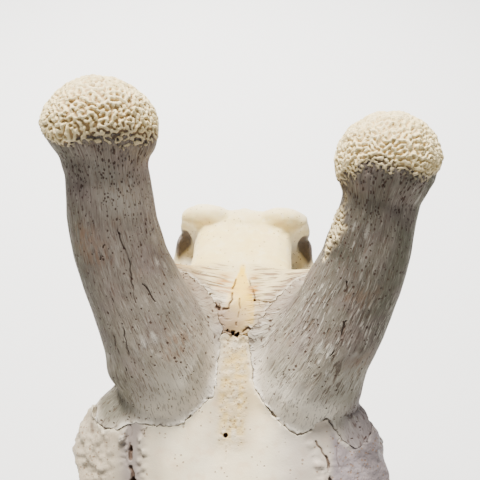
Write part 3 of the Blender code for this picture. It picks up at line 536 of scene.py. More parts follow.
class HornPlace:
    """Where points lie on a horn: the height in its lean, the turn round its axis from the outer side,
    the distance from the axis, and the grain, which is the same all along a fibre but for its length."""

    def __init__(self, name, at):
        out = at * (SIDES[name], 1, 1)
        axis = np.array(HORN_AXIS[name])
        self.height = out @ HORN_LEAN
        levels = axis[:, :3] @ HORN_LEAN
        centre = np.stack([np.interp(self.height, levels, axis[:, k]) for k in range(3)], axis=1)
        away = out - centre
        outer = np.array((1, 0, 0)) - HORN_LEAN * HORN_LEAN[0]
        outer /= np.linalg.norm(outer)
        behind = np.cross(HORN_LEAN, outer)
        self.turn = np.arctan2(away @ behind, away @ outer)
        self.reach = np.linalg.norm(away, axis=1)
        radius = np.interp(self.height, levels, axis[:, 3])
        self.length = self.height - np.maximum(self.reach - radius, 0)
        self.grain = np.stack([
            np.cos(self.turn) * GRAIN_RADIUS, np.sin(self.turn) * GRAIN_RADIUS, self.length,
        ], axis=1)
        turns, edges, thins = np.array(CRUST_EDGE[name]).T
        edge = np.interp(np.degrees(self.turn), turns, edges) / 1000
        self.thin = np.interp(np.degrees(self.turn), turns, thins) / 1000
        ragged = lattice_noise(at, 0.011, 21) * 0.0025 + lattice_noise(at, 0.004, 22) * 0.0018
        self.over_edge = self.height - edge + ragged
        shift = lattice_noise(at, 0.004, 23) * 0.0008
        turn, height, wide, long = SPUR
        spur = np.hypot(self.turned(turn) * self.reach / wide, (self.height - height / 1000) / long) * 1000
        self.spur = ease(spur + lattice_noise(at, 0.004, 24) * 0.4, 1.25, 0.7) * (name == "left")
        self.crack_gap = np.full(len(at), 9.0)
        for path in HORN_CRACKS[name]:
            drawn = [(math.radians(turn), height / 1000) for turn, height in path]
            scale = np.stack([self.reach, np.ones(len(at))], axis=1)
            plan = np.stack([self.turn + shift / self.reach, self.height], axis=1)
            for start, end in zip(np.array(drawn[:-1]), np.array(drawn[1:])):
                along = (end - start) * scale
                off = (plan - start) * scale
                share = np.clip((off * along).sum(axis=1) / (along * along).sum(axis=1), 0, 1)
                near = np.linalg.norm(off - share[:, None] * along, axis=1)
                self.crack_gap = np.minimum(self.crack_gap, near)

    def turned(self, degrees):
        """How far each point is turned past a direction, the shorter way round."""
        return np.angle(np.exp(1j * (self.turn - math.radians(degrees))))

    def near(self, degrees, height, reach):
        """1 at a place on the shaft, fading out over the reach; height and reach in millimetres."""
        along = self.height - height / 1000
        return np.exp(-((self.turned(degrees) * GRAIN_RADIUS) ** 2 + along ** 2) / (reach / 1000) ** 2)


# What the shafts and the braincase both fade to where they meet on the bridge, without a step in colour: a
# brown, partly painted shade, as the bridge's front slope lies in shade
BLEND_COLOUR = (0.30, 0.225, 0.15)


def coral(bone, inside, close):
    """A maze of short ridges from -1 to 1. Each point is fed by what is close and starved by what is
    farther off, turn after turn, which is how such a crust patterns itself."""
    chosen = np.flatnonzero(inside)
    place = np.full(len(inside), -1)
    place[chosen] = np.arange(len(chosen))
    links = place[bone.links]
    links = links[(links >= 0).all(axis=1)]
    level = lattice_noise(bone.start[chosen], 0.0009, 31)
    for turn in range(9):
        for i in range(close):
            level = (level + neighbour_mean(level, links)) / 2
        wide = level
        for i in range(3 * close):
            wide = (wide + neighbour_mean(wide, links)) / 2
        level = np.tanh(8 * (level - wide) + 0.42)
    pattern = np.zeros(len(inside))
    pattern[chosen] = level
    return pattern


def horn_finish():
    """Dry grey-brown shaft, streaked and pitted along its fibres, under an ivory crust."""
    look = Finish("horn_bone", 0.7, 0.12)
    grain = look.attribute("grain", "Vector")
    streak = look.noise(0.0030, grain, (1, 1, 8), 3.0)
    hair = look.noise(0.00075, grain, (1, 1, 9), 2.0)
    cloud = look.noise(0.024, detail=3.0)
    slash = look.noise(0.0012, grain, (1, 1, 7), 1.0)
    slashed = look.times(look.between(slash, 0.40, 0.32), look.attribute("slashed"))
    ridged = look.times(look.between(slash, 0.58, 0.66), look.attribute("slashed"))
    pits = look.spots(0.0017, 0.46, look.attribute("pitted"), grain, (1, 1, 1.4))
    dots = look.spots(0.0040, 0.16, 0.22, grain, (1, 1, 2.6))
    holes = look.combine(pits, dots, "MAXIMUM")
    rust = look.between(look.noise(0.0024, grain, (1, 1, 3), 3.0), 0.38, 0.62, 0.6)
    shaft = look.coat(
        (0.185, 0.155, 0.127),
        ("pale", (0.32, 0.270, 0.215)),
        (look.times(look.attribute("pale"), look.attribute("pale")), (0.42, 0.365, 0.28)),
        (look.times(look.attribute("green"), 0.80), (0.115, 0.112, 0.075)),
        (look.between(cloud, 0.45, 0.70, 0.40), (0.235, 0.175, 0.165)),
        ("patch", (0.40, 0.37, 0.28)),
        ("lip", (0.74, 0.655, 0.53)),
        ("blend", BLEND_COLOUR),
        # Painted shade on the outer flank below the left horn
        ("flank_shade", (0.225, 0.19, 0.195)),
        # Painted light, then painted shade, on the shafts
        ("painted_shaft_light", (0.84, 0.765, 0.63)),
        ("painted_shaft_shade", (0.045, 0.042, 0.030)),
        (look.between(streak, 0.50, 0.75, 0.14), (0.42, 0.38, 0.33)),
        (look.between(streak, 0.48, 0.25, 0.32), (0.11, 0.08, 0.062)),
        (look.between(hair, 0.55, 0.70, 0.22), (0.56, 0.51, 0.44)),
        (look.between(hair, 0.43, 0.34, 0.55), (0.075, 0.040, 0.027)),
        (look.times(look.attribute("stain"), rust), (0.20, 0.105, 0.055)),
        (look.times(slashed, 0.75), (0.10, 0.068, 0.046)),
        # Pale ridges next to the slashes, partly a painted highlight
        (look.times(ridged, 0.45), (0.68, 0.62, 0.52)),
        (look.times(holes, 0.80), (0.045, 0.02, 0.013)),
        ("chalk_and_painted_light", (0.74, 0.69, 0.59)),
    )
    hollow = look.attribute("hollow")
    hem = look.attribute("hem")
    ivory = look.coat(
        (0.81, 0.655, 0.345),
        (look.between(look.noise(0.009, detail=2.0), 0.35, 0.65), (0.86, 0.715, 0.41)),
        # The crust's hollows: browner bone, deepened as painted shade
        (look.between(hollow, 0.28, 0.65, 0.62), (0.56, 0.375, 0.165)),
        (look.between(hollow, 0.62, 0.85, 0.62), (0.25, 0.135, 0.060)),
        (look.times(hem, 0.55), (0.30, 0.245, 0.18)),
        (look.times(hem, look.between(hollow, 0.25, 0.70)), (0.085, 0.052, 0.036)),
    )
    whole = look.coat(shaft, ("crust", ivory), ("crack", (0.045, 0.024, 0.017)))
    fibres = look.combine(look.times(hair, 0.00055), look.times(streak, 0.0009))
    fibres = look.times(fibres, look.attribute("fibrous"))
    fine = look.times(look.noise(0.0008, detail=2.0), 0.00016)
    relief = look.combine(look.combine(fibres, fine), look.times(holes, -0.0007))
    relief = look.combine(relief, look.times(look.combine(ridged, slashed, "SUBTRACT"), 0.0006))
    return look.done(whole, relief)


def blob(at, centre, reach):
    """1 at the centre, fading out over the reach each way."""
    return np.exp(-(((at - centre) / reach) ** 2).sum(axis=1))


def swelling(at, swells):
    """How far each point is raised by round swells, given as centre, reach and height in millimetres."""
    raised = np.zeros(len(at))
    for centre, reach, height in swells:
        raised += blob(at, np.array(centre) / 1000, reach / 1000) * height / 1000
    return raised


horn_bone = horn_finish()
HORN_VOXEL = 0.00135
for name, side in SIDES.items():

    def horn_fineness(middles):
        place = HornPlace(name, middles)
        crack = np.where(place.crack_gap < 0.0012, 2, np.where(place.crack_gap < 0.0025, 1, 0))
        return np.maximum(crack, np.where((place.over_edge > -0.022) | (place.spur > 0), 1, 0))

    bone = Bone("ossicone_" + name + "_bone", "ossicone_" + name, HORN_VOXEL, horn_fineness)
    bone.serrate()
    at = bone.start
    place = HornPlace(name, at)
    maze = coral(bone, (place.over_edge > -0.005) | (place.spur > 0), 4 if side < 0 else 3)
    bead_gap, bead_own = nearest_spot(at, 0.0033 if side < 0 else 0.0028, 33)
    beads = np.sqrt(1 - np.clip(bead_gap / (0.72 + 0.20 * bead_own), 0, 1) ** 2)
    tops = (0.25 + 0.75 * ease(maze, -0.95, 0.45)) * (0.32 + 0.68 * beads)
    edge_gap = place.over_edge + (tops - 0.55) * 0.8 * place.thin
    crust = np.maximum(ease(edge_gap, -0.0008, 0.0010), place.spur)
    lumpy = 0.25 * lattice_noise(at, 0.006, 34)
    coral_height = (tops * 1.25 + lumpy - 1 + CRUST_OUT[name]) * CRUST_HEIGHT
    coral_height *= 0.50 + 0.50 * ease(place.over_edge, 0, place.thin)
    coral_height = np.where(place.over_edge < -0.004, place.spur * (tops * 1.3 - 0.3) * 0.0020, coral_height)
    above_roof = ease(place.length, 0.385, 0.410)
    root = 1 - ease(bone.seam, 0.0015, 0.009)
    front = ease(-np.sin(place.turn), -0.2, 0.5)
    patch = np.exp(-(((at - (side * 0.028, 0.440, 0.178)) / (0.016, 0.022, 0.02)) ** 2).sum(axis=1))
    streaked = (1 - crust) * (1 - 0.75 * patch) * (1 - 0.5 * root)
    along = place.grain / (1, 1, 7)
    shaft_height = lattice_noise(along, 0.0026, 41) * 0.00020 + lattice_noise(along, 0.0058, 42) * 0.00036
    shaft_height += lattice_noise(at, 0.017, 43) * 0.0005
    low_start = 0.505 if side > 0 else 0.478
    low = ease(place.length, low_start, low_start - 0.035) * ease(place.length, 0.365, 0.380)
    low *= 1 - 0.8 * patch
    lip = ease(bone.seam, 0.022, 0.006) * ease(-np.sin(place.turn), -0.2, 0.5)
    slashed = low * (1.0 if side > 0 else 0.55) * (1 - 0.6 * lip)
    slashed *= ease(lattice_noise(at, 0.014, 44), -0.5, 0.3)
    pit_gap, pit_own = nearest_spot(place.grain / (1, 1, 1.25), 0.0022, 51)
    pit_density = ease(place.over_edge, -0.022, -0.004)
    pits = ease(pit_gap, 0.24 + 0.16 * pit_own, 0.10) * (pit_own < pit_density) * (1 - crust)
    broken = ease(lattice_noise(place.grain / (1, 1, 3), 0.0035, 53), -0.55, 0.0)
    crack = ease(place.crack_gap, 0.00065, 0.0001) * broken
    ragged_seam = bone.seam + 0.0010 * lattice_noise(at, 0.0045, 60) + 0.0006 * lattice_noise(at, 0.0022, 63)
    lumps = 0.60 + 0.75 * lattice_noise(at, 0.0023, 61)
    front *= 1 - ease(at[:, 0], 0.075, 0.083)
    rim = (1 - ease(ragged_seam, 0.0012, 0.0027)) * front
    rim *= 0.35 + 0.65 * ease(lattice_noise(at, 0.012, 64), -0.4, 0.2)
    parted = (1 - ease(bone.seam, 0.0007, 0.0017)) * front * ease(lattice_noise(at, 0.006, 62), -0.2, 0.2)
    bridged = ease(bone.seam, 0.017, 0.001) * ease(at[:, 1], 0.478, 0.492) * ease(at[:, 2], 0.165, 0.175)
    swell = swelling(at, HORN_SWELLS[name])
    bone.raise_by(
        crust * coral_height
        + streaked * shaft_height
        - pits * 0.0008
        - crack * 0.0009
        + rim * lumps * 0.0010
        - parted * 0.0012
        + swell
    )
    stain = np.zeros(len(at))
    for turn, height, reach in HORN_STAINS[name]:
        stain = np.maximum(stain, place.near(turn, height, reach))
    stain = np.maximum(stain, ease(lattice_noise(at, 0.013, 71), 0.35, 0.8) * 0.4)
    flecks = ease(lattice_noise(place.grain / (1, 1, 4), 0.0030, 72), 0.35, 0.75)
    flecks *= ease(lattice_noise(at, 0.02, 73), 0, 0.5)
    bone.mark("grain", place.grain)
    bone.mark("crust", crust)
    bone.mark("hem", np.where(place.over_edge < -0.004, 0.62, ease(place.over_edge, place.thin, 0.0005)))
    bone.mark("hollow", (1 - tops) * (0.82 if side > 0 else 1))
    bone.mark("pitted", 0.16 + 0.80 * ease(place.over_edge, -0.095, -0.004))
    bone.mark("crack", np.maximum(np.maximum(crack * 0.9, parted * 0.8), pits * 0.7))
    bone.mark("chalk_and_painted_light", np.clip(rim * (0.30 + 0.45 * lumps) + flecks * 0.35 * (1 - crust), 0, 1))
    pale_top = 0.488 if side > 0 else 0.535
    lip_end = 0.068 if side > 0 else 0.060
    bone.mark("lip", lip * ease(np.abs(at[:, 0]), lip_end, lip_end - 0.022) * 0.9)
    bone.mark("pale", ease(place.length, pale_top, 0.385))
    bone.mark("blend", bridged * (0.9 if side < 0 else 0.6))
    # Painted shade on the outer flank below the left horn, matching the forehead's
    bone.mark("flank_shade", 0.9 * ease(at[:, 0], 0.074, 0.086) * ease(at[:, 2], 0.184, 0.166))
    # Painted light and shade on the shafts, from the table above
    shaft_light_and_shade = np.zeros(len(at))
    for turn, height, reach, change in HORN_LIGHT_AND_SHADE[name]:
        shaft_light_and_shade += change * place.near(turn, height, reach)
    bone.mark("painted_shaft_light", np.clip(shaft_light_and_shade, 0, 0.95))
    bone.mark("painted_shaft_shade", np.clip(-shaft_light_and_shade, 0, 0.8))
    green = ease(np.cos(place.turn), 0.05, 0.65) * 0.85 + 0.45 * (side > 0)
    bone.mark("green", np.clip(green, 0, 1) * (1 - root))
    bone.mark("slashed", slashed)
    bone.mark("patch", patch * 0.8)
    bone.mark("stain", stain * (1 - crust))
    bone.mark("fibrous", streaked * above_roof)
    bone.finish(horn_bone)


# The rest of the skull's bones share one dry, creamy finish. What differs from place to place, such as
# stains, pores, chalky edges and painted light and shade, is read from values kept on each bone's mesh.


def skull_finish(name, pale, warm, grey, painted_shade=(0.27, 0.19, 0.125)):
    look = Finish(name, 0.5)
    grain = look.attribute("grain", "Vector")
    cloud = look.noise(0.030, detail=3.0)
    mottle = look.noise(0.0075, detail=3.0)
    line = look.noise(0.0016, grain, detail=2.5)
    lines = look.times(look.between(line, 0.49, 0.33), look.attribute("fibrous"))
    rust = look.between(look.noise(0.0020, grain, detail=3.0), 0.36, 0.58)
    pores = look.spots(0.0021, 0.42, look.attribute("porous"))
    dots = look.spots(0.0085, 0.10, 0.35)
    holes = look.combine(pores, dots, "MAXIMUM")
    colour = look.coat(
        pale,
        (look.between(cloud, 0.36, 0.66), warm),
        (look.between(mottle, 0.50, 0.75, 0.35), (0.72, 0.48, 0.30)),
        (look.between(mottle, 0.47, 0.28, 0.40), (0.90, 0.80, 0.56)),
        ("grey", grey),
        ("olive", (0.47, 0.365, 0.205)),
        # Painted shade, cool in tint
        ("violet_shade", (0.31, 0.260, 0.262)),
        ("blend", BLEND_COLOUR),
        (lines, (0.25, 0.155, 0.085)),
        ("yellow", (0.80, 0.50, 0.035)),
        (look.times(look.attribute("stain"), rust), (0.42, 0.20, 0.035)),
        # Chalky bone, and painted light on bone that lies in shade
        ("chalk_and_painted_light", (0.88, 0.80, 0.62)),
        # Painted shade
        ("painted_shade", painted_shade),
        (look.times(holes, 0.60), (0.24, 0.13, 0.06)),
        ("shadow", (0.088, 0.070, 0.072)),
        ("crack", (0.085, 0.045, 0.025)),
    )
    relief = look.combine(look.times(look.noise(0.0010, detail=2.0), 0.00012), look.times(lines, -0.0007))
    spongy = look.times(look.attribute("porous"), 0.0012)
    relief = look.combine(relief, look.times(look.noise(0.0030, detail=3.0), spongy))
    relief = look.combine(relief, look.times(holes, -0.0004))
    return look.done(colour, relief)


class Marks:
    """What a bone's finish reads, filled in bit by bit: zero all over at first."""

    def __init__(self, bone):
        self.bone = bone
        self.values = {}

    def add(self, name, values):
        old = self.values.get(name, np.zeros(len(self.bone.points)))
        self.values[name] = np.maximum(old, values)

    def keep(self, grain):
        for name, values in self.values.items():
            self.bone.mark(name, np.clip(values, 0, 1))
        self.bone.mark("grain", grain)


# The braincase, with the bridge between the horns and the smooth table behind them, down to the condyles.
# Fine ridges run across the bridge from horn to horn, either side of a yellow strip along the midline.

# Cracks and grooves of the crown, seen from above: half width, depth, and the points of each, all in mm
CROWN_CRACKS = [
    (0.75, 1.12, [(-2, 523), (-4, 513), (-4, 505), (-6, 498)]),
    (0.6, 0.75, [(2, 506), (3, 495), (1, 484)]),
    (0.52, 0.5, [(-11, 491), (-8, 488), (-3, 488), (2, 491)]),
    (0.6, 0.88, [(8, 525), (12, 515), (14, 506)]),
    (0.52, 0.62, [(15, 505), (22, 503), (30, 504), (41, 507)]),
    (0.52, 0.62, [(15, 492), (22, 491), (28, 492), (38, 495)]),
    (1.05, 1.5, [(-22, 500), (-16, 497), (-10, 496), (-6, 497)]),
    (0.6, 0.75, [(-47, 524), (-38, 519), (-31, 512)]),
    (0.9, 1.25, [(-8, 480), (-1, 479), (4, 480), (9, 482), (14, 481)]),
]
CROWN_PITS = [
    ((-2.0, 479.2), 1.3, 6.0), ((1.8, 477.8), 1.8, 6.0), ((-5.5, 480.5), 0.9, 2.0), ((14, 505), 1.1, 2.0),
    ((-13, 497), 1.4, 2.0), ((-17, 498), 1.2, 2.0), ((27, 491.5), 0.8, 1.5), ((20, 480), 1.3, 2.0),
    ((-21, 507), 1.0, 1.6),
]
# Rusty stains: how strong, where, and how far they reach, in metres
CROWN_STAINS = [
    (1.3, (-0.0105, 0.514, 0.189), (0.008, 0.013, 0.02)), (1.2, (0.0125, 0.516, 0.189), (0.005, 0.012, 0.02)),
    (0.6, (0.001, 0.487, 0.187), (0.006, 0.004, 0.02)), (0.55, (-0.045, 0.535, 0.19), (0.020, 0.006, 0.03)),
]


def crack_depth(at, cracks, reach=1.0):
    """How deep each point is sunk by cracks, seen from above. They wander, and heal up here and there."""
    shift = np.stack([lattice_noise(at, 0.0035, seed) for seed in (81, 82)], axis=1) * 0.0007
    depth = np.zeros(len(at))
    for half, deep, path in cracks:
        gap = path_gap(at[:, :2] + shift, np.array(path) / 1000) / (half / 1000)
        depth = np.maximum(depth, deep / 1000 * ease(gap, 1.25 * reach, 0.3 * reach))
    return depth * ease(lattice_noise(at, 0.004, 97), -0.7, -0.1)


def pit_depth(at, pits):
    """How deep each point is sunk by round pits, given as centre, radius and depth in millimetres."""
    depth = np.zeros(len(at))
    for centre, radius, deep in pits:
        gap = np.linalg.norm(at[:, :2] - np.array(centre) / 1000, axis=1)
        depth = np.maximum(depth, deep / 1000 * ease(gap, radius / 1000 * 1.25, radius / 1000 * 0.55))
    return depth


def roof_fineness(cracks, pits):
    """Says of places in the skull that faces are to be quartered once or twice near cracks and pits."""
    def fineness(middles):
        gap = np.full(len(middles), 1.0)
        for half, deep, path in cracks:
            gap = np.minimum(gap, path_gap(middles[:, :2], np.array(path) / 1000) - half / 1000)
        for centre, radius, deep in pits:
            away = np.linalg.norm(middles[:, :2] - np.array(centre) / 1000, axis=1)
            gap = np.minimum(gap, away - radius / 1000)
        gap = np.where(middles[:, 2] > 0.12, gap, 1)
        return np.where(gap < 0.0010, 2, np.where(gap < 0.0022, 1, 0))
    return fineness


BRAINCASE_VOXEL = 0.00155
bone = Bone("braincase_bone", "braincase", BRAINCASE_VOXEL, roof_fineness(CROWN_CRACKS, CROWN_PITS))
bone.serrate()
at = bone.start
x, y, z = at.T
marks = Marks(bone)
top = ease(z, 0.150, 0.170)
bridge = ease(y, 0.545, 0.534) * ease(z, 0.166, 0.176)
strip_edge = np.interp(y, (0.480, 0.505, 0.532), (0.0125, 0.0105, 0.0020))
strip = ease(np.abs(x - 0.0025), strip_edge + 0.0012, strip_edge - 0.0006) * bridge
across = np.stack([x / 11, y - 0.12 * np.abs(x) + 0.0006 * lattice_noise(at, 0.012, 91), z / 3], axis=1)
ridges = bridge * ease(np.abs(x), 0.006, 0.014)
height = ridges * (lattice_noise(across, 0.0020, 92) * 0.00075 + lattice_noise(across, 0.0042, 93) * 0.00060)
height += lattice_noise(at, 0.016, 94) * 0.0004
crack = crack_depth(at, CROWN_CRACKS) * top
depth = pit_depth(at, CROWN_PITS) * top
crumbs = blob(at, (-0.016, 0.503, 0.190), (0.013, 0.007, 0.02))
crumbs = np.maximum(crumbs, blob(at, (0.012, 0.483, 0.187), (0.005, 0.002, 0.02)))
height += crumbs * (0.0006 + 0.0007 * lattice_noise(at, 0.0024, 95))
muscle_lines = ease(np.abs(x), 0.030, 0.040) * ease(z, 0.19, 0.12)
height += muscle_lines * lattice_noise(at * (1, 0.25, 1), 0.005, 96) * 0.00035
# The dark openings on both sides of the table, between it and the corner of the crest behind: a shallow dent,
# darkened with painted shadow for the depth of the opening
off = np.abs(x) - 0.0590
hollow = np.hypot(off / np.where(off < 0, 0.0060, 0.0120), (z - 0.1275) / 0.0130)
hollow = ease(hollow, 1.20, 0.80) * ease(y, 0.570, 0.578) * ease(y, 0.611, 0.598)
sides = [((side * 57, 574, 148), 11, 3.5) for side in SIDES.values()]
sides += [((side * 65, 600, 137), 8, 2.5) for side in SIDES.values()]
sides += [((x_valley, 597, 162), 12, 2.0) for x_valley in (-42, -26, -9, 9, 26, 42)]
sides += [((side * 70, 590, 112), 9, -2.4) for side in SIDES.values()]
height -= hollow * ease(np.abs(x), 0.066, 0.062) * 0.0020
# The occiput, rough where the neck's muscles held on, with a low crest in the middle
nape = ease(bone.outward[:, 1], 0.30, 0.70) * ease(y, 0.575, 0.600)
scars = lattice_noise(at * (1, 1, 0.45), 0.0075, 98) + 0.5 * lattice_noise(at, 0.0030, 99)
height += nape * (scars * 0.00065 + ease(np.abs(x), 0.007, 0.001) * ease(z, 0.095, 0.120) * 0.0016)
bone.raise_by(height - crack - depth + swelling(at, sides))
seam = (1 - ease(bone.seam, 0.0008, 0.0030)) * top
marks.add("crack", np.maximum(ease(crack, 0.0001, 0.0009) * 0.85, ease(depth, 0.0006, 0.0020)))
marks.add("yellow", strip * 0.95 + 0.12 * blob(at, (0, 0.565, 0.18), (0.035, 0.03, 0.05)))
marks.add("olive", 0.35 * bridge * (1 - strip))
for strength, centre, reach in CROWN_STAINS:
    marks.add("stain", strength * blob(at, centre, reach))
marks.add("chalk_and_painted_light", crumbs * 0.7 + seam * 0.35)
marks.add("fibrous", ridges)
marks.add("grey", 0.30 * ridges)
marks.add("porous", 0.10 + 0.25 * (1 - top) + 0.3 * crumbs)
marks.add("grey", 0.45 * blob(at, (0.010, 0.486, 0.187), (0.030, 0.009, 0.03)))
marks.add("grey", 0.7 * ease(z, 0.150, 0.09))
marks.add("porous", 0.70 * nape * ease(lattice_noise(at, 0.013, 100), -0.3, 0.4))
marks.add("stain", 0.30 * nape * ease(scars, -0.2, -0.9))
marks.add("shadow", hollow * 0.94)
# Painted light on the folds next to the openings, which lie in shade
painted_light_beside = sum(blob(at, (side * 0.051, 0.591, 0.120), (0.009, 0.024, 0.026)) for side in SIDES.values())
marks.add("chalk_and_painted_light", 1.2 * painted_light_beside)
# Painted shade, with some brown, on the bridge's front slope, most toward the right
slope = ease(y, 0.510, 0.492) * ease(x, 0.045, -0.010) * top
marks.add("painted_shade", 0.95 * slope + 0.55 * bridge * ease(y - 0.1 * x, 0.518, 0.495) * ease(-x, 0.006, 0.020))
marks.add("chalk_and_painted_light", 0.45 * ease(z, 0.150, 0.120) + 0.75 * ease(y, 0.598, 0.620))
# Painted shade at the back corners of the crest, cool in tint on the left
marks.add("painted_shade", 0.30 * blob(at, (-0.060, 0.628, 0.172), (0.014, 0.014, 0.016)))
marks.add("violet_shade", 0.6 * blob(at, (0.062, 0.622, 0.160), (0.012, 0.020, 0.018)))
marks.add("blend", 0.9 * ease(bone.seam, 0.012, 0.001) * bridge * ease(np.abs(x), 0.010, 0.022))
marks.keep(across)
crown_bone = skull_finish(
    "crown_bone", pale=(0.86, 0.70, 0.34), warm=(0.84, 0.66, 0.27), grey=(0.42, 0.33, 0.22),
)
bone.finish(crown_bone)


# The frontals, the broad forehead between horns, orbits and nose, joined along the midline. The bone is
# smooth and creamy, with a porous strip and a small vein hole in the middle and knobbly rims to the orbits.
FOREHEAD_CRACKS = [
    (1.5, 2.6, [(-70, 400), (-70, 394), (-69, 388), (-67, 381), (-65, 372)]),
    (0.6, 1.0, [(-71, 416), (-70, 408), (-70, 400)]),
    (0.6, 1.0, [(-59, 413), (-61, 407)]),
    (0.4, 0.5, [(-2, 409), (-1, 400), (0, 392)]),
    (0.7, 1.2, [(62, 409), (67, 404), (70, 399)]), (1.1, 2.2, [(70, 400), (72, 396), (72, 392)]),
    (1.3, 2.4, [(72, 390), (74, 385), (73, 379)]),
    (0.8, 1.6, [(-84, 414), (-80, 416), (-77, 419)]),
    (0.4, 0.5, [(-68, 400), (-74, 404), (-79, 402)]),
    (0.5, 0.7, [(80, 412), (77, 402), (79, 394)]),
]
FOREHEAD_PITS = [
    ((-2, 409), 1.6, 5.0), ((-2.0, 479.2), 1.3, 6.0), ((1.8, 477.8), 1.8, 6.0), ((-70, 396), 1.6, 2.5),
    ((-66, 376), 2.6, 6.0), ((30, 352), 1.6, 4.0), ((-33, 350), 1.6, 4.0), ((-80, 415), 1.5, 2.0),
]
# Where rough lumps line the fissures, seen from above, in mm
FISSURE_BANKS = [
    [(-62, 407), (-62, 399), (-61, 391), (-60, 383), (-58, 374)], [(-76, 407), (-76, 399), (-75, 388)],
    [(59, 406), (64, 399), (66, 391), (67, 383), (66, 374)],
]

FRONTAL_VOXEL = 0.0017
bone = Bone("frontal_bone", "frontal", FRONTAL_VOXEL, roof_fineness(FOREHEAD_CRACKS, FOREHEAD_PITS))
bone.serrate()
at = bone.start
x, y, z = at.T
marks = Marks(bone)
top = ease(z, 0.115, 0.130)
crack = crack_depth(at, FOREHEAD_CRACKS) * top
depth = pit_depth(at, FOREHEAD_PITS) * top
height = lattice_noise(at, 0.020, 101) * 0.0006 + lattice_noise(at, 0.007, 102) * 0.00016
bank = np.zeros(len(at))
for path in FISSURE_BANKS:
    bank = np.maximum(bank, ease(path_gap(at[:, :2], np.array(path) / 1000), 0.0045, 0.0015) * top)
banked = np.maximum(lattice_noise(at, 0.0042, 109), 0) * 1.7 + lattice_noise(at, 0.0021, 110) * 0.5
height += bank * banked * np.where(x < 0, 0.0025, 0.0017)
outer = ease(np.abs(x), 0.076, 0.090) * ease(z, 0.090, 0.110)
gravel = lattice_noise(at, 0.0065, 103) + 0.7 * lattice_noise(at, 0.0032, 104)
height += outer * gravel * np.where(x < 0, 0.0017, 0.0009)
plate = ease(x, 0.068, 0.072) * top
height += plate * (lattice_noise(at, 0.0024, 118) * 0.00022 + lattice_noise(at, 0.0055, 119) * 0.0003)
middle = ease(np.abs(x - 0.002), 0.013, 0.006) * ease(y, 0.395, 0.412) * top
worn = ease(lattice_noise(at, 0.0034, 105), -0.15, 0.25)
height += middle * (worn - 0.5) * 0.0006
front_crumbs = blob(at, (0.001, 0.472, 0.183), (0.009, 0.0045, 0.02))
height += front_crumbs * lattice_noise(at, 0.0026, 107) * 0.0009
height += swelling(at, [((105, 420, 155), 10, 4.5), ((104, 408, 157), 9, 1.5)])
bone.raise_by(height - crack - depth)
seam = (1 - ease(bone.seam, 0.0006, 0.0035)) * top
marks.add("crack", np.maximum(ease(crack, 0.0002, 0.0012) * 0.8, ease(depth, 0.0006, 0.0020)))
tinged = 0.25 * blob(at, (0.005, 0.440, 0.17), (0.02, 0.05, 0.05))
marks.add("yellow", middle * 0.45 * (1 - 0.7 * worn) + tinged)
marks.add("chalk_and_painted_light", front_crumbs * 0.6)
marks.add("olive", 0.60 * ease(y, 0.412, 0.436) * top)
# Painted shade, cool in tint, over the left half of the forehead (toward +x), most of all on the left orbit's
# rim
violet_shade = 0.60 * ease(x, 0.020, 0.052) + 0.50 * ease(x, 0.070, 0.079)
marks.add("violet_shade", violet_shade * (0.35 + 0.65 * ease(z, 0.115, 0.140)))
# Painted shade on the left outer flank, which turns away from the light
marks.add("painted_shade", 0.85 * ease(x - 0.083 - 0.78 * (0.414 - y), -0.002, 0.002) * ease(z, 0.080, 0.110))
marks.add("chalk_and_painted_light", 0.4 * bank * ease(banked, 0.4, 1.2) * (x < 0))
marks.add("porous", 0.10 + 0.80 * middle + 0.45 * outer + 0.35 * plate)
marks.add("chalk_and_painted_light", 0.35 * seam + 0.3 * middle * ease(lattice_noise(at, 0.004, 106), 0.1, 0.6))
marks.add("grey", 0.55 * ease(-x, 0.036, 0.052) + 0.30 * ease(-x, 0.056, 0.064) + 0.5 * ease(z, 0.14, 0.09))
# Painted shade along the right fissure
fissure_gap = path_gap(at[:, :2], [(-0.069, 0.412), (-0.070, 0.395), (-0.066, 0.372)])
marks.add("painted_shade", 0.75 * ease(fissure_gap, 0.014, 0.002) * top)
marks.add("grey", 0.45 * ease(lattice_noise(at, 0.006, 108), 0.1, 0.7) * outer)
marks.add("crack", 0.6 * ease(gravel, -0.75, -1.15) * outer * (x < 0))
marks.add("painted_shade", 0.30 * ease(np.abs(x), 0.024, 0.008) * ease(y, 0.396, 0.404) * top)
marks.add("fibrous", 0.25 * outer)
marks.keep(at / (1, 4, 1))
forehead_bone = skull_finish(
    "forehead_bone", pale=(0.90, 0.79, 0.58), warm=(0.86, 0.73, 0.50), grey=(0.42, 0.345, 0.25),
    painted_shade=(0.20, 0.168, 0.168),
)
bone.finish(forehead_bone)


# The maxillae, the deep cheek and upper jaw bones of each side. Their sockets are open below for the
# grinding teeth, and a hole for a nerve opens forward on each cheek. Thin old bone, streaked front to back.
def cut_boxes(obj, boxes):
    """Takes away what lies in some boxes, given by their lowest and highest corners in the skull."""
    for lowest, highest in boxes:
        bpy.ops.mesh.primitive_cube_add(size=1)
        cutter = bpy.context.object
        middle = (Vector(lowest) + Vector(highest)) / 2
        size = Matrix.Diagonal((Vector(highest) - Vector(lowest)).to_4d())
        size[3][3] = 1
        cutter.matrix_world = STAND @ Matrix.Translation(middle) @ size
        bpy.context.view_layer.update()
        apply_modifier(obj, "BOOLEAN", operation="DIFFERENCE", object=cutter)
        bpy.data.objects.remove(cutter)


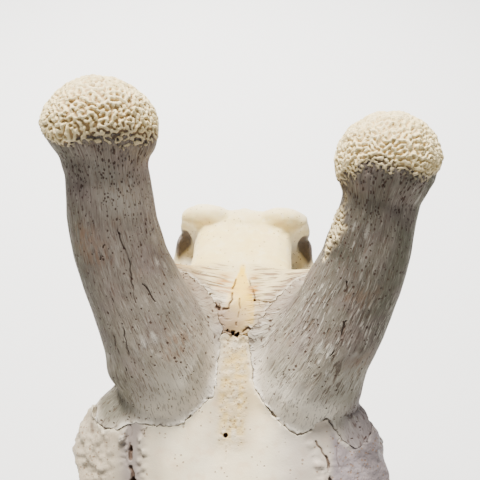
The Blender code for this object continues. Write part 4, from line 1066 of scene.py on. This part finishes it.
def carve_face_bone(name, node, voxel, material, prepare=None, holes=()):
    bone = Bone(name, node, voxel, None, prepare)
    if node in CRANIUM:
        bone.serrate()
    at = bone.start
    height = lattice_noise(at, 0.015, 111) * 0.0004 + lattice_noise(at / (1, 3, 1), 0.004, 112) * 0.00018
    depth = np.zeros(len(at))
    for centre, reach, deep in holes:
        gap = np.sqrt((((at - centre) / reach) ** 2).sum(axis=1))
        depth = np.maximum(depth, deep * ease(gap, 1.1, 0.75))
    bone.raise_by(height - depth)
    marks = Marks(bone)
    seam = 1 - ease(bone.seam, 0.0006, 0.0030)
    marks.add("porous", 0.12 + 0.35 * ease(lattice_noise(at, 0.02, 113), 0.1, 0.7))
    marks.add("fibrous", 0.35 + 0.35 * lattice_noise(at, 0.03, 114))
    marks.add("yellow", 0.35 * ease(lattice_noise(at, 0.035, 115), 0.0, 0.7))
    marks.add("grey", 0.35 * ease(lattice_noise(at, 0.045, 116), 0.0, 0.6))
    marks.add("chalk_and_painted_light", seam * 0.3)
    marks.add("crack", ease(depth, 0.0008, 0.0026) * 0.9)
    marks.keep(at / (1, 8, 1))
    bone.finish(material)


def without_upper_teeth(obj):
    cut_boxes(obj, [((-0.09, 0.200, -0.030), (0.09, 0.380, -0.002))])


face_bone = skull_finish(
    "face_bone", pale=(0.72, 0.65, 0.49), warm=(0.68, 0.57, 0.39), grey=(0.42, 0.36, 0.29),
)
for name, side in SIDES.items():
    infraorbital = ((side * 0.036, 0.190, 0.020), (0.02, 0.0055, 0.0035), 0.005)
    carve_face_bone(
        "maxilla_" + name + "_bone", "maxilla_" + name, 0.0014, face_bone,
        without_upper_teeth, [infraorbital],
    )


# The nasals, the two narrow bones that roof the nose, meeting in a straight suture along the midline. The
# bone is thin and smooth, a little paler than the cheeks.
nasal_bone = skull_finish(
    "nasal_bone", pale=(0.76, 0.69, 0.53), warm=(0.71, 0.60, 0.42), grey=(0.44, 0.38, 0.30),
)
for name, side in SIDES.items():
    carve_face_bone("nasal_" + name + "_bone", "nasal_" + name, 0.001, nasal_bone)


# The premaxillae, the two toothless prongs at the tip of the snout. They are spongy bone that carried the
# horny pad of the gum, and their finish is greyer than the rest.
snout_bone = skull_finish(
    "snout_bone", pale=(0.66, 0.58, 0.44), warm=(0.60, 0.49, 0.33), grey=(0.36, 0.31, 0.25),
)
for name, side in SIDES.items():
    carve_face_bone("premaxilla_" + name + "_bone", "premaxilla_" + name, 0.001, snout_bone)


# The lower jaw, a half from each side, joined at the chin and hinged behind the cheeks. It is dense, browner
# bone, with open sockets above and a hole for a nerve near the front teeth.

# How far a row of sockets is from the middle, and half its width
LOWER_ROW = 0.041
LOWER_SOCKET = 0.0115


def without_lower_teeth(obj):
    boxes = []
    for side in (-1, 1):
        row = side * LOWER_ROW
        boxes.append(((row - LOWER_SOCKET, 0.204, -0.0345), (row + LOWER_SOCKET, 0.373, 0.0)))
    boxes.append(((-0.05, -0.02, -0.0225), (0.05, 0.020, 0.01)))
    cut_boxes(obj, boxes)


jaw_bone = skull_finish(
    "jaw_bone", pale=(0.70, 0.61, 0.44), warm=(0.63, 0.51, 0.33), grey=(0.38, 0.32, 0.25),
)
for name, side in SIDES.items():
    mental = ((side * 0.020, 0.075, -0.045), (0.012, 0.0050, 0.0030), 0.005)
    carve_face_bone(
        "mandible_" + name + "_bone", "mandible_" + name, 0.0015, jaw_bone,
        without_lower_teeth, [mental],
    )


# The teeth. Grinding teeth stand in a row in each jaw, their crowns worn so that hard enamel stands up
# in crescents round the softer, browner dentine. Lower front teeth fan out like small spades.
OCCLUSAL_Z = -0.0170
BITE_GAP = 0.0006
UPPER_ROOT_Z = 0.0040
LOWER_ROOT_Z = -0.0410
# Cheek teeth from front to back: x, y, length, width, number of lobes
UPPER_CHEEK_TEETH = [
    (0.0400, 0.2215, 0.0205, 0.0200, 1),
    (0.0430, 0.2435, 0.0215, 0.0235, 1),
    (0.0455, 0.2665, 0.0220, 0.0250, 1),
    (0.0475, 0.2930, 0.0280, 0.0265, 2),
    (0.0485, 0.3225, 0.0290, 0.0270, 2),
    (0.0490, 0.3520, 0.0280, 0.0255, 2),
]
LOWER_CHEEK_TEETH = [
    (0.0375, 0.2185, 0.0185, 0.0105, 1),
    (0.0400, 0.2395, 0.0210, 0.0130, 2),
    (0.0425, 0.2630, 0.0230, 0.0155, 2),
    (0.0445, 0.2900, 0.0275, 0.0170, 2),
    (0.0460, 0.3190, 0.0285, 0.0175, 2),
    (0.0475, 0.3525, 0.0350, 0.0165, 3),
]
# Incisors from the middle outward: the cutting edge's x, y, z and half width, and the root's x
INCISORS = [
    (0.0064, 0.0020, -0.0150, 0.0060, 0.0055),
    (0.0178, 0.0042, -0.0150, 0.0056, 0.0115),
    (0.0268, 0.0105, -0.0155, 0.0052, 0.0170),
    (0.0342, 0.0205, -0.0165, 0.0072, 0.0215),
]


def tooth_finish():
    look = Finish("tooth_enamel", 0.28, 0.5)
    cloud = look.noise(0.006, detail=3.0)
    streak = look.noise(0.0012, None, (1, 1, 8), 2.0)
    enamel = look.coat(
        (0.80, 0.72, 0.54),
        (look.between(cloud, 0.35, 0.65), (0.70, 0.58, 0.38)),
        (look.between(streak, 0.50, 0.75, 0.4), (0.42, 0.28, 0.15)),
        ("dentine", (0.30, 0.17, 0.08)),
        (look.times(look.attribute("tartar"), look.between(cloud, 0.30, 0.60)), (0.10, 0.065, 0.04)),
    )
    return look.done(enamel, look.times(streak, 0.00025))


tooth_enamel = tooth_finish()


def blank_block(cuts):
    """A cube from -1 to 1 with evenly cut faces, to be shaped."""
    bpy.ops.object.select_all(action="DESELECT")
    bpy.ops.mesh.primitive_cube_add(size=2)
    block = bpy.context.object
    bpy.ops.object.mode_set(mode="EDIT")
    bpy.ops.mesh.subdivide(number_cuts=cuts)
    bpy.ops.object.mode_set(mode="OBJECT")
    return block


def shape_cheek_tooth(block, side, tooth, z_crown, z_root):
    x, y, long, wide, lobes = tooth
    u, v, w = read_points(block.data).T
    round_u = u * np.sqrt(1 - 0.30 * v * v)
    round_v = v * np.sqrt(1 - 0.30 * u * u)
    waist = np.ones(len(u))
    for i in range(1, lobes):
        waist -= 0.20 * np.exp(-((v - (2 * i / lobes - 1)) / 0.13) ** 2)
    ribs = 1 + 0.05 * np.cos(v * math.pi * lobes) * ease(np.abs(u), 0.6, 1.0)
    to_crown = (w + 1) / 2
    taper = 0.88 + 0.12 * ease(to_crown, 0.0, 0.45) - 0.13 * ease(to_crown, 0.72, 1.0)
    in_lobe = (((v + 1) * lobes / 2) % 1 - 0.5) * 2
    ring = np.sqrt((u / 0.98) ** 2 + (in_lobe / 1.05) ** 2)
    crown_face = ease(w, 0.985, 1.0)
    ridge = np.maximum(ease(np.abs(ring - 0.88), 0.16, 0.04), ease(np.abs(ring - 0.40), 0.15, 0.04))
    bowl = ease(ring, 0.30, 0.0)
    z = z_root + (z_crown - z_root) * to_crown
    away = math.copysign(1, z_crown - z_root)
    z -= away * crown_face * (0.0014 * (1 - ridge) + 0.0020 * bowl)
    z -= away * crown_face * 0.0012 * ease(np.abs(u), 0.75, 1.0)
    points = np.stack([
        side * x + round_u * waist * ribs * taper * wide / 2,
        y + round_v * taper * long / 2 * 1.01,
        z,
    ], axis=1)
    return points, crown_face * (1 - ridge), crown_face * bowl + 0.8 * ease(to_crown, 0.62, 0.30)


def shape_incisor(block, side, tooth):
    x, y, z, half, root_x = tooth
    u, v, w = read_points(block.data).T
    share = (w + 1) / 2
    stations = (0.0, 0.30, 0.62, 1.0)
    centre_x = np.interp(share, stations, (root_x, root_x * 0.6 + x * 0.4, root_x * 0.2 + x * 0.8, x))
    centre_y = np.interp(share, stations, (y * 0.5 + 0.036, y * 0.8 + 0.0185, y + 0.0080, y))
    centre_z = np.interp(share, stations, (-0.0315, -0.0270, -0.0205, z))
    half_wide = np.interp(share, stations, (0.0030, 0.0036, half * 0.88, half))
    half_thick = np.interp(share, stations, (0.0030, 0.0032, 0.0028, 0.0009))
    points = np.stack([
        side * (centre_x + u * np.sqrt(1 - 0.35 * v * v) * half_wide),
        centre_y + v * np.sqrt(1 - 0.35 * u * u) * half_thick * 0.6 + 0.0008 * u * u,
        centre_z + v * np.sqrt(1 - 0.35 * u * u) * half_thick * 0.8 - 0.0012 * u * u * share,
    ], axis=1)
    return points, np.zeros(len(u)), ease(share, 0.62, 0.35) * 0.7


def finish_teeth(name, blocks):
    """Joins shaped blocks as one piece, standing in the jaw."""
    stand = np.array(STAND)
    for block, points, dentine, tartar in blocks:
        write_points(block.data, points @ stand[:3, :3].T + stand[:3, 3])
        for layer_name, values in (("dentine", dentine), ("tartar", tartar)):
            layer = block.data.attributes.new(layer_name, "FLOAT", "POINT")
            layer.data.foreach_set("value", np.clip(values, 0, 1).astype(np.float32))
    bpy.ops.object.select_all(action="DESELECT")
    for block, *shape in blocks:
        block.select_set(True)
    bpy.context.view_layer.objects.active = blocks[0][0]
    bpy.ops.object.join()
    row = blocks[0][0]
    row.name = name
    bpy.ops.object.mode_set(mode="EDIT")
    bpy.ops.mesh.select_all(action="SELECT")
    bpy.ops.mesh.normals_make_consistent(inside=False)
    bpy.ops.object.mode_set(mode="OBJECT")
    row.data.shade_smooth()
    row.data.materials.append(tooth_enamel)
    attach(row, "root")


for name, side in SIDES.items():
    rows = {"upper": (UPPER_CHEEK_TEETH, OCCLUSAL_Z, UPPER_ROOT_Z)}
    rows["lower"] = (LOWER_CHEEK_TEETH, OCCLUSAL_Z - BITE_GAP, LOWER_ROOT_Z)
    for jaw, (teeth, z_crown, z_root) in rows.items():
        blocks = []
        for tooth in teeth:
            block = blank_block(15)
            blocks.append((block, *shape_cheek_tooth(block, side, tooth, z_crown, z_root)))
        finish_teeth(jaw + "_cheek_teeth_" + name, blocks)
    blocks = []
    for tooth in INCISORS:
        block = blank_block(9)
        blocks.append((block, *shape_incisor(block, side, tooth)))
    finish_teeth("incisors_" + name, blocks)

bpy.data.objects.remove(cranium_surface)
